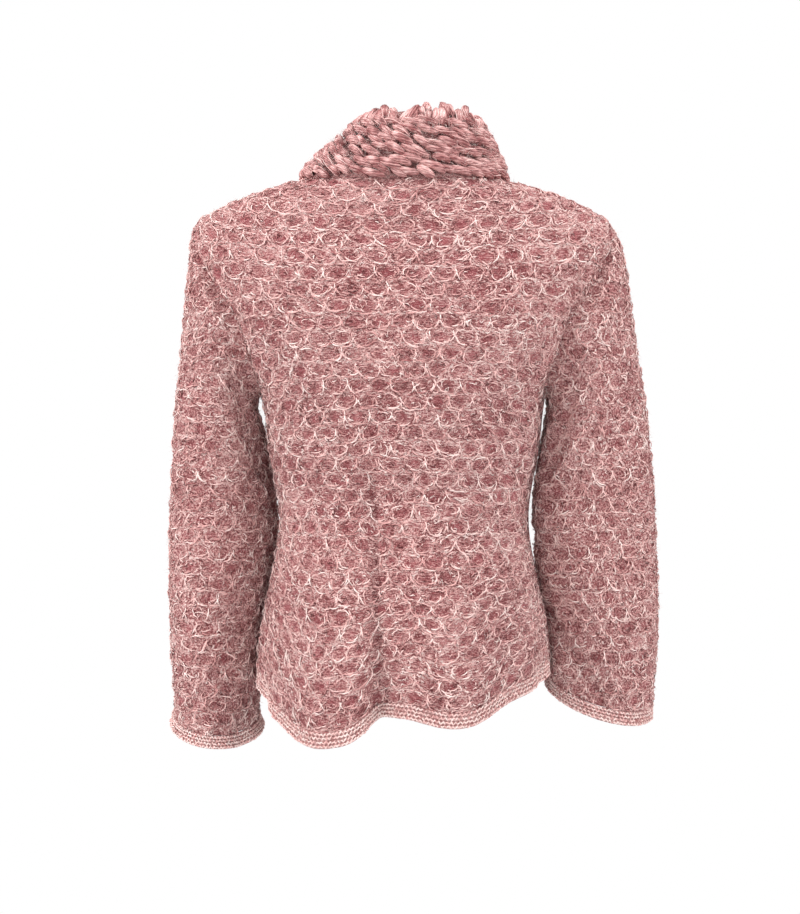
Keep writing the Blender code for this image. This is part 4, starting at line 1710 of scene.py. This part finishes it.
    def stitches(self, points: Grid, angle: Grid) -> tuple:
        """Counts the sleeve's ovals round the arm and its rows along it.

        Args:
            points: The sleeve's outside.
            angle: The angles of its columns. Not used.

        Returns:
            The count across and the count up at each point.
        """
        down = np.array([0.5 * (ring.outer_z + ring.inner_z) for ring in self.rings])
        z = np.clip(-points[..., 2], -down[0], -down[-1])
        middle_x = spline(-down, [0.5 * (r.outer_x + r.inner_x) for r in self.rings], z)
        middle_y = spline(-down, [0.5 * (r.outer_y + r.inner_y) for r in self.rings], z)
        turn = np.arctan2((points[..., 1] - middle_y) / 0.056, (points[..., 0] - middle_x) / 0.048)
        turn = np.unwrap(turn, axis=1)
        full = 2 * math.pi
        over = np.round((turn[:, turn.shape[1] // 2] - full) / full)
        turn -= over[:, None] * full
        axis = unit(np.array([0.02, 0.0, -0.47]))
        return turn / full * SLEEVE_OVALS, -(points @ axis) / ROW_HEIGHT

    def dress(
        self,
        node: str,
        finish: Finish,
        points: Grid,
        out: Grid,
        relief: Grid,
        u: Grid,
        v: Grid,
        wardrobe: Wardrobe,
    ) -> None:
        """Args:
            node: The CAD node that it stands for.
            finish: Its finish.
            points: Its outside before the stitches, on the left side.
            out: The outward directions there.
            relief: How far the stitches stand out.
            u: Its stitches, counted across.
            v: Its rows, counted up.
            wardrobe: The finishes.
        """
        mirror = np.array((self.sign, 1, 1))
        uv = np.stack([u, v], axis=-1)
        outer = (points + relief[..., None] * out) * mirror
        inner = (points - SHELL * out) * mirror
        piece = Shell(f"{node}_{finish.value}", outer, inner, uv, closed=True).build()
        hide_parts(node)
        knit = finish is Finish.KNIT
        wardrobe.dress(piece, Finish.SLEEVE if knit else finish, finish.value)
        cloth = Cloth(outer, out * mirror, uv)
        hairs = self.hairs if knit else 0
        counts = (4, 11, 0.075, 1.3)
        laid = lay_yarns(wardrobe, cloth, node, 40 + self.sign, hairs, counts)
        round_about = arc_lengths(points)[:, -1]
        along = np.linalg.norm(np.diff(points, axis=0), axis=-1).sum(0)


@dataclass
class Fibres:
    """Single hairs that stand out of a brushed surface, each a closed spike of four faces."""

    name: str
    count: int
    cloth: Cloth
    slot: str
    seed: int
    length: tuple = (0.0035, 0.0085)
    radius: float = 0.00015

    def build(self, wardrobe: Wardrobe) -> bpy.types.Object:
        """Scatters the hairs and dresses them.

        Args:
            wardrobe: The finishes.

        Returns:
            The hairs as one object.
        """
        chance = np.random.default_rng(self.seed)
        rows, columns = self.cloth.points.shape[:2]
        r = chance.integers(2, rows - 2, self.count)
        c = chance.integers(2, columns - 2, self.count)
        root, out = self.cloth.points[r, c], self.cloth.out[r, c]
        lean = chance.normal(size=(self.count, 3)) * 0.75
        lean -= (lean * out).sum(1, keepdims=True) * out
        way = unit(out * chance.uniform(0.25, 0.9, (self.count, 1)) + lean)
        long = chance.uniform(*self.length, (self.count, 1))
        side = unit(np.cross(way, out + 1e-3))
        other = np.cross(way, side)
        tip = root + way * long
        turns = [0, 2 * math.pi / 3, 4 * math.pi / 3]
        ring = [root + self.radius * (side * math.cos(a) + other * math.sin(a)) for a in turns]
        places = np.stack([*ring, tip], axis=1).reshape(-1, 3)
        start = np.arange(self.count)[:, None] * 4
        pattern = np.array([[0, 2, 1], [0, 1, 3], [1, 2, 3], [2, 0, 3]]).ravel()
        faces = (start + pattern).reshape(-1, 3).tolist()
        data = bpy.data.meshes.new(self.name)
        data.from_pydata(places.tolist(), [], faces)
        data.shade_smooth()
        piece = bpy.data.objects.new(self.name, data)
        bpy.context.scene.collection.objects.link(piece)
        wardrobe.dress(piece, Finish.FIBRE, self.slot)
        return piece


@dataclass
class YarnTube:
    """A fat yarn along a path, with tapered closed ends."""

    path: Grid
    radius: Grid
    sides: int = 8

    def mesh(self) -> tuple:
        """Makes the tube.

        Returns:
            Its places, faces and UV corners.
        """
        along = unit(np.gradient(self.path, axis=0))
        side = np.cross(along, (0.0, 0.0, 1.0))
        flat = np.linalg.norm(side, axis=1, keepdims=True) < 0.2
        side = unit(np.where(flat, np.cross(along, (1.0, 0.0, 0.0)), side))
        other = np.cross(along, side)
        turn = np.arange(self.sides) * 2 * math.pi / self.sides
        ring = side[:, None] * np.cos(turn)[:, None] + other[:, None] * np.sin(turn)[:, None]
        places = self.path[:, None] + self.radius[:, None, None] * ring
        rows = len(self.path)
        length = arc_lengths(self.path[None])[0]
        faces, corners = [], []
        n = self.sides
        for i in range(rows - 1):
            for j in range(n):
                k = (j + 1) % n
                faces.append([i * n + j, i * n + k, (i + 1) * n + k, (i + 1) * n + j])
                corners += [(length[i], j / n), (length[i], (j + 1) / n)]
                corners += [(length[i + 1], (j + 1) / n), (length[i + 1], j / n)]
        faces.append(list(range(n))[::-1])
        corners += [(length[0], j / n) for j in range(n)][::-1]
        faces.append([(rows - 1) * n + j for j in range(n)])
        corners += [(length[-1], j / n) for j in range(n)]
        return places.reshape(-1, 3), faces, corners


@dataclass
class Collar:
    """The funnel collar: a knitted wall covered outside with rows of thick yarn loops."""

    opening: float = math.radians(7)
    thick: float = 0.003
    foot: float = -0.003
    edge: float = 0.074
    height: float = 0.078
    rows: tuple = (44, 42, 39, 36, 33, 31)
    first_row: float = 0.0042
    spacing: float = 0.0112
    tips: int = 62
    tip_foot: float = 0.0590
    end_gap: float = 0.05
    hairs: int = 3500
    ply_count: int = 3
    ply_turn: float = 2.094
    seed: int = SEED
    plies: list = field(default_factory=list)

    def __post_init__(self) -> None:
        """Opens the source of chance that all the loops share."""
        self.chance = np.random.default_rng(self.seed)

    def surface(self, angle: Grid, height: Grid) -> Grid:
        """The wall's outer surface under the loops.

        Args:
            angle: The angles to look at, in radians.
            height: The heights up the wall's cloth.

        Returns:
            The points there.
        """
        angle, height = np.broadcast_arrays(angle, height)
        s = columns_at(COLLAR, height)
        x, y = oval(angle, s.half_width, s.back_depth, s.front_depth, 2.0)
        z = tilted_z(angle, s.side_z, s.back_z, s.front_z)
        return np.stack([s.centre_x + x, y, z], axis=-1)

    def wall(self, wardrobe: Wardrobe) -> tuple:
        """Builds the wall and dresses it.

        Args:
            wardrobe: The finishes.

        Returns:
            The wall, the surface under its plies and hairs, and the length of each level.
        """
        end = math.pi - self.opening
        around, up = np.linspace(-end, end, 161), np.linspace(self.foot, self.edge, 25)
        angle, height = np.meshgrid(around, up)
        points = self.surface(angle, height)
        out = grid_normals(points, False)
        length = arc_lengths(points)
        uv = np.stack([length / 0.0090, height / 0.0070], axis=-1)
        piece = Shell("collar_wall", points + 0.0012 * out, points - self.thick * out, uv).build()
        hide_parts("collar")
        wardrobe.dress(piece, Finish.KNIT, "loops")
        return piece, Cloth(points + 0.0060 * out, out, uv), length[:, -1]

    def turns(self, height: float) -> tuple:
        """The lengths round the wall at a height, and the angles that they reach.

        Args:
            height: The height up the wall's cloth.

        Returns:
            The lengths and the angles.
        """
        edge = math.pi - self.opening - 0.03
        angle = np.linspace(-edge, edge, 241)
        points = self.surface(angle, np.full(angle.shape, height))
        return arc_lengths(points[None])[0], angle

    def loop(self, place: float, height: float, half: float, slant: float, fat: float) -> tuple:
        """One loop that lies on the wall and slants down to the right, seen from outside.

        Args:
            place: How far round the wall its middle is, in metres.
            height: How high its middle is up the wall.
            half: Half its length.
            slant: The angle at which it falls.
            fat: The radius of its yarn.

        Returns:
            Its places, faces and UV corners.
        """
        t = np.linspace(-1, 1, 9)
        lengths, angles = self.turns(height)
        bow = self.chance.normal() * 0.0012 * (1 - t**2)
        a = np.interp(place - t * half * math.cos(slant), lengths, angles)
        h = np.clip(height - t * half * math.sin(slant) + bow, self.foot, self.height)
        base = self.surface(a, h)
        out = normals(self.surface, a, h)
        bulge = np.sqrt(np.clip(1 - t**2, 0, 1))
        rise = fat * self.chance.uniform(0.75, 1.15) + 0.0006
        path = base + (0.0008 + rise * bulge)[:, None] * out
        radius = fat * (0.30 + 0.70 * np.clip(1 - np.abs(t) ** 2.6, 0, 1) ** 0.5)
        self.wrap(path, radius)
        return YarnTube(path, radius).mesh()

    def wrap(self, path: Grid, radius: Grid) -> None:
        """Winds the fine yarns of the plies round one loop.

        Args:
            path: The loop's middle line.
            radius: Its thickness along that line.
        """
        along = unit(np.gradient(path, axis=0))
        side = unit(np.cross(along, along[:, [1, 2, 0]] + 0.3))
        other = np.cross(side, along)
        start = self.chance.uniform(0, 2 * math.pi)
        for ply in range(self.ply_count):
            turn = start + ply * self.ply_turn + np.linspace(0, 1.8, len(path))
            out = side * np.cos(turn)[:, None] + other * np.sin(turn)[:, None]
            thin = self.chance.uniform(0.00035, 0.00060)
            tone = 0.52 + self.chance.normal() * 0.22
            places = path + out * (radius + 0.1 * thin)[:, None]
            self.plies.append((places, out, np.full(len(path), thin), tone))

    def tip(self, angle: float, foot: float, long: float, lean: float, fat: float) -> tuple:
        """One loop of the top row, which stands up over the collar's edge.

        Args:
            angle: Where it stands.
            foot: How high up the wall it starts.
            long: Its length.
            lean: How far its tip leans round the wall, in radians.
            fat: The radius of its yarn.

        Returns:
            Its places, faces and UV corners.
        """
        t = np.linspace(0, 1, 9)
        a = angle + lean * t**1.5
        h = np.minimum(foot + long * t, self.edge)
        base = self.surface(a, h)
        out = normals(self.surface, a, h)
        over = np.maximum(foot + long * t - self.edge, 0)
        rise = 0.0012 + fat * 0.9 * np.sin(math.pi * np.clip(t * 0.8, 0, 1))
        path = base + rise[:, None] * out
        path[:, 2] += over
        radius = fat * np.clip(0.6 + 1.2 * t, 0, 1) * np.sqrt(np.clip(1.02 - t**9, 0.02, 1))
        self.wrap(path, radius)
        return YarnTube(path, radius).mesh()

    def row(self, number: int, count: int, wardrobe: Wardrobe) -> bpy.types.Object:
        """Builds one row of loops that lie on the wall.

        Args:
            number: Which row it is, 0 for the lowest.
            count: How many loops it has.
            wardrobe: The finishes.

        Returns:
            The row as one piece.
        """
        chance = self.chance
        height = self.first_row + number * self.spacing
        step = self.turns(height)[0][-1] / count
        parts = []
        for i in range(count):
            place = (i + 0.5 + chance.normal() * 0.16) * step
            half = step * chance.uniform(0.75, 1.15)
            slant = chance.uniform(0.25, 0.65)
            fat = chance.uniform(0.0031, 0.0044)
            up = height + chance.normal() * 0.0014
            parts.append(self.loop(place, up, half, slant, fat))
        return self.joined(f"collar_loops_row_{number + 1}", parts, wardrobe)

    def top_row(self, wardrobe: Wardrobe) -> bpy.types.Object:
        """Builds the row of loops that stand up over the collar's edge.

        Args:
            wardrobe: The finishes.

        Returns:
            The row as one piece.
        """
        chance = self.chance
        end = math.pi - self.opening
        turn = (end - self.end_gap) * 2 / self.tips
        parts = []
        for i in range(self.tips):
            angle = -end + self.end_gap + (i + 0.5) * turn
            angle += chance.normal() * turn * 0.15
            long = chance.uniform(0.013, 0.022)
            lean = float(np.clip(chance.normal() * 0.11, -end - angle, end - angle))
            fat = chance.uniform(0.0040, 0.0050)
            foot = self.tip_foot + chance.normal() * 0.002
            parts.append(self.tip(angle, foot, long, lean, fat))
        return self.joined("collar_loops_top", parts, wardrobe)

    def build(self, wardrobe: Wardrobe) -> None:
        """Builds the wall and its loops, one piece for each row.

        Args:
            wardrobe: The finishes.
        """
        piece, cloth, lengths = self.wall(wardrobe)
        pieces = [self.row(number, count, wardrobe) for number, count in enumerate(self.rows)]
        pieces.append(self.top_row(wardrobe))
        yarns = Yarns("collar_plies", cloth, "loops")
        yarns.parts.append([np.array(column) for column in zip(*self.plies)])
        pieces.append(yarns.build(wardrobe))
        pieces.append(Fibres("collar_fibres", self.hairs, cloth, "loops", 9).build(wardrobe))
        area = float(lengths.mean() * self.height)

    def joined(self, name: str, parts: list, wardrobe: Wardrobe) -> bpy.types.Object:
        """Joins loops into one dressed piece.

        Args:
            name: The piece's name.
            parts: The loops' places, faces and UV corners.
            wardrobe: The finishes.

        Returns:
            The piece.
        """
        places, faces, corners = [], [], []
        start = 0
        for points, part_faces, part_corners in parts:
            places.append(points)
            faces += [[start + i for i in face] for face in part_faces]
            corners += part_corners
            start += len(points)
        piece = mesh_piece(name, np.concatenate(places), faces, corners)
        wardrobe.dress(piece, Finish.LOOPS, "loops")
        return piece


@dataclass(frozen=True)
class Button:
    """A round button with a dished face and four holes, sewn on with crossed yarn."""

    number: int
    height: float
    radius: float = 0.0115
    thick: float = 0.0040
    dish: float = 0.0012
    hole: float = 0.0013
    spread: float = 0.0030
    lift: float = 0.0019
    yarn: float = 0.00045

    def seat(self) -> Matrix:
        """Where the button sits, clear of the highest place of the band under it.

        Returns:
            The button's place and turn.
        """
        level = np.interp(self.height, [row.front_z for row in BODY], [row.level for row in BODY])
        levels = level + np.linspace(-0.05, 0.05, 41)
        under = TORSO.top(np.full(levels.shape, math.pi), levels)
        middle = under[len(under) // 2]
        out = normals(TORSO.top, np.array([math.pi]), np.array([level]))[0]
        near = np.linalg.norm(under - middle, axis=1) < 1.4 * self.radius
        place = middle + (self.lift + np.max((under[near] - middle) @ out)) * out
        return Matrix.LocRotScale(Vector(place), Vector(out).to_track_quat("Z", "Y"), None)

    def blank(self) -> bpy.types.Object:
        """The disc with its flat rim and dished face, before it is drilled.

        Returns:
            The disc.
        """
        bpy.ops.object.select_all(action="DESELECT")
        bpy.ops.mesh.primitive_cylinder_add(
            vertices=40, radius=self.radius, depth=self.thick, location=(0, 0, self.thick / 2)
        )
        disc = bpy.context.object
        for face in disc.data.polygons:
            face.select = face.normal.z > 0.9
        bpy.ops.object.mode_set(mode="EDIT")
        bpy.ops.mesh.select_mode(type="FACE")
        bpy.ops.mesh.inset(thickness=0.0017)
        bpy.ops.mesh.inset(thickness=0.0009)
        bpy.ops.transform.translate(value=(0, 0, -self.dish))
        bpy.ops.object.mode_set(mode="OBJECT")
        return disc

    def drill(self, disc: bpy.types.Object) -> None:
        """Cuts the four holes and rounds every edge.

        Args:
            disc: The plain disc.
        """
        bpy.ops.object.select_all(action="DESELECT")
        bits = []
        for i in range(4):
            turn = math.pi * (i + 0.5) / 2
            x, y = self.spread * math.cos(turn), self.spread * math.sin(turn)
            bpy.ops.mesh.primitive_cylinder_add(
                vertices=16, radius=self.hole, depth=4 * self.thick, location=(x, y, 0)
            )
            bits.append(bpy.context.object)
        for bit in bits:
            bit.select_set(True)
        bpy.ops.object.join()
        drill = bpy.context.object
        bpy.context.view_layer.objects.active = disc
        cut = disc.modifiers.new("holes", "BOOLEAN")
        cut.operation, cut.object = "DIFFERENCE", drill
        bpy.ops.object.modifier_apply(modifier=cut.name)
        bpy.data.objects.remove(drill, do_unlink=True)
        bevel = disc.modifiers.new("rounded", "BEVEL")
        bevel.width, bevel.segments, bevel.limit_method = 0.0004, 2, "ANGLE"
        bpy.ops.object.modifier_apply(modifier=bevel.name)
        disc.select_set(True)
        bpy.ops.object.shade_smooth_by_angle(angle=math.radians(40))

    def thread(self) -> bpy.types.Object:
        """Two crossed rings of yarn through the holes.

        Returns:
            The rings as one object.
        """
        bpy.ops.object.select_all(action="DESELECT")
        rings = []
        for turn, tall in ((0.25, 0.70), (0.75, 0.84)):
            bpy.ops.mesh.primitive_torus_add(
                major_radius=self.spread,
                minor_radius=self.yarn,
                major_segments=20,
                minor_segments=6,
                location=(0, 0, self.thick / 3),
                rotation=(math.pi / 2, 0, math.pi * turn),
            )
            bpy.ops.transform.resize(value=(1, 1, tall))
            rings.append(bpy.context.object)
        for ring in rings:
            ring.select_set(True)
        bpy.ops.object.transform_apply(location=True, rotation=True, scale=True)
        bpy.ops.object.join()
        bpy.ops.object.shade_smooth()
        thread = bpy.context.object
        for corner in thread.data.uv_layers[0].data:
            corner.uv = (0.60, corner.uv.x * 0.02)
        return thread

    def build(self, wardrobe: Wardrobe) -> None:
        """Builds the button and its yarn, and stands them for the CAD's plain button.

        Args:
            wardrobe: The finishes.
        """
        node = f"button_{self.number}"
        disc = self.blank()
        self.drill(disc)
        for piece, name, finish, slot in (
            (disc, f"{node}_disc", Finish.BUTTON, "button"),
            (self.thread(), f"{node}_thread", Finish.YARN, "border"),
        ):
            piece.name = piece.data.name = name
            piece.data.transform(self.seat() @ piece.matrix_world)
            piece.matrix_world = Matrix.Identity(4)
            wardrobe.dress(piece, finish, slot)
        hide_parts(node)


@dataclass
class Cardigan:
    """The whole garment."""

    wardrobe: Wardrobe = field(default_factory=Wardrobe)
    button_span: tuple = (-0.484, -0.084)
    button_count: int = 5

    def back(self) -> None:
        """Builds the back and its hem border."""
        Panel(
            "back_knit",
            "back",
            TORSO.under,
            (HEM_SEAM + SEAM_GAP, NECK),
            lambda level: -TORSO.edge(level, BACK_SWING),
            lambda level: TORSO.edge(level, BACK_SWING),
            seed=3,
            hairs=8000,
            rests_on=("left_front", "right_front"),
        ).build(self.wardrobe)
        Panel(
            "hem_border_back_garter",
            "hem_border_back",
            TORSO.under,
            (0.0, HEM_SEAM),
            lambda level: -TORSO.edge(level, 0),
            lambda level: TORSO.edge(level, 0),
            seed=4,
            finish=Finish.BORDER,
            pitch=0.0018,
            rests_on=("back",),
        ).build(self.wardrobe)

    def front(self, side: str, sign: int, surface: Surface) -> None:
        """Builds one front and its hem border.

        Args:
            side: The wearer's left or right.
            sign: 1 on the left and -1 on the right.
            surface: The form that it lies on.
        """
        gap = HALF_BAND + SEAM_GAP
        Panel(
            f"{side}_front_knit",
            f"{side}_front",
            surface,
            (HEM_SEAM + SEAM_GAP, NECK),
            lambda level: sign * (math.pi - TORSO.edge(level, FRONT_SWING)),
            lambda level: sign * (math.pi - TORSO.centre_turn(level, gap)),
            seed=7 + sign,
            pitch=0.0036,
            anchor=1.0,
            rings=3,
            curls=6,
            hairs=2500,
            rests_on=("back",),
            facing=sign,
        ).build(self.wardrobe)
        Panel(
            f"hem_border_{side}_front_garter",
            f"hem_border_{side}_front",
            surface,
            (0.0, HEM_SEAM),
            lambda level: sign * (math.pi - TORSO.edge(level, 0)),
            lambda level: sign * (math.pi - TORSO.centre_turn(level, gap)),
            seed=11 + sign,
            finish=Finish.BORDER,
            pitch=0.0018,
            rests_on=(f"{side}_front",),
            facing=sign,
        ).build(self.wardrobe)

    def band(self, side: str, surface: Surface) -> None:
        """Builds one of the two bands that close the front.

        Args:
            side: The wearer's left or right.
            surface: The form that it lies on.
        """
        Panel(
            f"{side}_front_band_garter",
            f"{side}_front_band",
            surface,
            (0.0, NECK - SEAM_GAP),
            lambda level: math.pi - TORSO.centre_turn(level, HALF_BAND),
            lambda level: math.pi + TORSO.centre_turn(level, HALF_BAND),
            seed=31,
            finish=Finish.BORDER,
            pitch=0.0024,
            rests_on=(f"{side}_front",),
            ridge_turn=True,
            ridges=2,
        ).build(self.wardrobe)

    def sleeves(self) -> None:
        """Builds both sleeves with their cuff borders and hairs."""
        for side, sign, rings, creases in (
            ("left", 1, LEFT_RINGS, LEFT_SLEEVE_CREASES),
            ("right", -1, RIGHT_RINGS, RIGHT_SLEEVE_CREASES),
        ):
            Sleeve(side, sign, rings, creases).build(self.wardrobe)

    def buttons(self) -> None:
        """Builds the five buttons, from the lowest up."""
        for number, height in enumerate(np.linspace(*self.button_span, self.button_count)):
            Button(number + 1, height).build(self.wardrobe)

    def build(self) -> None:
        """Builds every piece in order."""
        self.back()
        self.front("left", 1, TORSO.under)
        self.front("right", -1, TORSO.overlapping)
        self.band("left", TORSO.under)
        self.band("right", TORSO.top)
        self.sleeves()
        Collar().build(self.wardrobe)
        self.buttons()
        LOG.info("cardigan: %d triangles added", self.wardrobe.triangles)


@dataclass(frozen=True)
class Lamp:
    """A soft square light."""

    name: str
    place: tuple
    size: float
    power: float
    colour: tuple = (1.0, 1.0, 1.0)


@dataclass(frozen=True)
class Studio:
    """A pale floor, soft lights and the camera."""

    target: tuple = (0.003, 0.0, -0.272)
    eye: tuple = (0.003, 1.5, -0.272)
    lens: float = 57.9
    floor_z: float = -1.45
    dimmed: float = 0.22
    lamps: tuple = (
        Lamp("key_light", (0.4, 1.0, 2.0), 1.4, 37.0),
        Lamp("fill_light", (-0.4, 1.9, 0.1), 1.6, 9.0, (0.97, 0.98, 1.0)),
        Lamp("left_light", (2.0, 0.8, 0.2), 1.2, 40.0),
        Lamp("right_light", (-2.0, 0.8, 0.2), 1.2, 35.0),
        Lamp("low_light", (0.3, 1.4, -1.3), 1.2, 11.0),
        Lamp("front_light", (0.4, -2.0, 0.9), 1.8, 58.0),
        Lamp("top_light", (0.0, 0.3, 1.8), 1.2, 12.0),
    )

    def build(self) -> None:
        """Sets up the floor, the world, the lights and the camera."""
        self.floor()
        self.sky()
        for lamp in self.lamps:
            self.light(lamp)
        self.camera()
        bpy.context.scene.view_settings.view_transform = "Standard"
        LOG.info("studio: %d lights", len(self.lamps))

    def floor(self) -> None:
        """Lays the pale round floor."""
        bpy.ops.object.select_all(action="DESELECT")
        bpy.ops.mesh.primitive_circle_add(
            vertices=96, radius=1.3, fill_type="NGON", location=(0, 0, self.floor_z)
        )
        floor = bpy.context.object
        floor.name = "studio_floor"
        floor.data.transform(floor.matrix_world)
        floor.matrix_world = Matrix.Identity(4)
        s = Shader("studio_floor")
        place = s.node("ShaderNodeTexCoord", out="Object")
        grain = s.noise(place, 5.0, 2.0)
        base = s.mix(grain, (0.83, 0.83, 0.83), (0.87, 0.87, 0.87))
        floor.data.materials.append(s.finish(base, 0.9 - grain * 0.1, s.bump(grain, 0.02, 0.001)))

    def sky(self) -> None:
        """Makes a world that the camera sees white, and that lights the scene less."""
        world = bpy.data.worlds.new("studio")
        world.use_nodes = True
        nodes, links = world.node_tree.nodes, world.node_tree.links
        sky = nodes["Background"]
        sky.inputs["Color"].default_value = (1.0, 1.0, 1.0, 1)
        seen = nodes.new("ShaderNodeLightPath").outputs["Is Camera Ray"]
        level = nodes.new("ShaderNodeMapRange")
        level.inputs["To Min"].default_value = self.dimmed
        links.new(seen, level.inputs["Value"])
        links.new(level.outputs["Result"], sky.inputs["Strength"])
        bpy.context.scene.world = world

    def light(self, lamp: Lamp) -> None:
        """Adds a light that faces the garment.

        Args:
            lamp: The light's settings.
        """
        data = bpy.data.lights.new(lamp.name, "AREA")
        data.size, data.energy, data.color = lamp.size, lamp.power, lamp.colour
        self.aimed(lamp.name, data, lamp.place)

    def camera(self) -> None:
        """Adds the camera at the photograph's viewing angle."""
        data = bpy.data.cameras.new("camera")
        data.lens, data.sensor_width = self.lens, 36
        bpy.context.scene.camera = self.aimed("camera", data, self.eye)

    def aimed(self, name: str, data: bpy.types.ID, place: tuple) -> bpy.types.Object:
        """Adds a light or a camera that faces the garment.

        Args:
            name: Its name.
            data: Its light or camera data.
            place: Where it stands.

        Returns:
            The new object.
        """
        made = bpy.data.objects.new(name, data)
        made.location = place
        way = Vector(self.target) - Vector(place)
        made.rotation_euler = way.to_track_quat("-Z", "Y").to_euler()
        bpy.context.scene.collection.objects.link(made)
        return made


def main() -> None:
    """Builds the garment and the studio."""
    logging.basicConfig(level=logging.INFO, format="%(message)s")
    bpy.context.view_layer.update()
    Cardigan().build()
    Studio().build()
    bpy.context.view_layer.update()


if __name__ == "__main__":
    main()
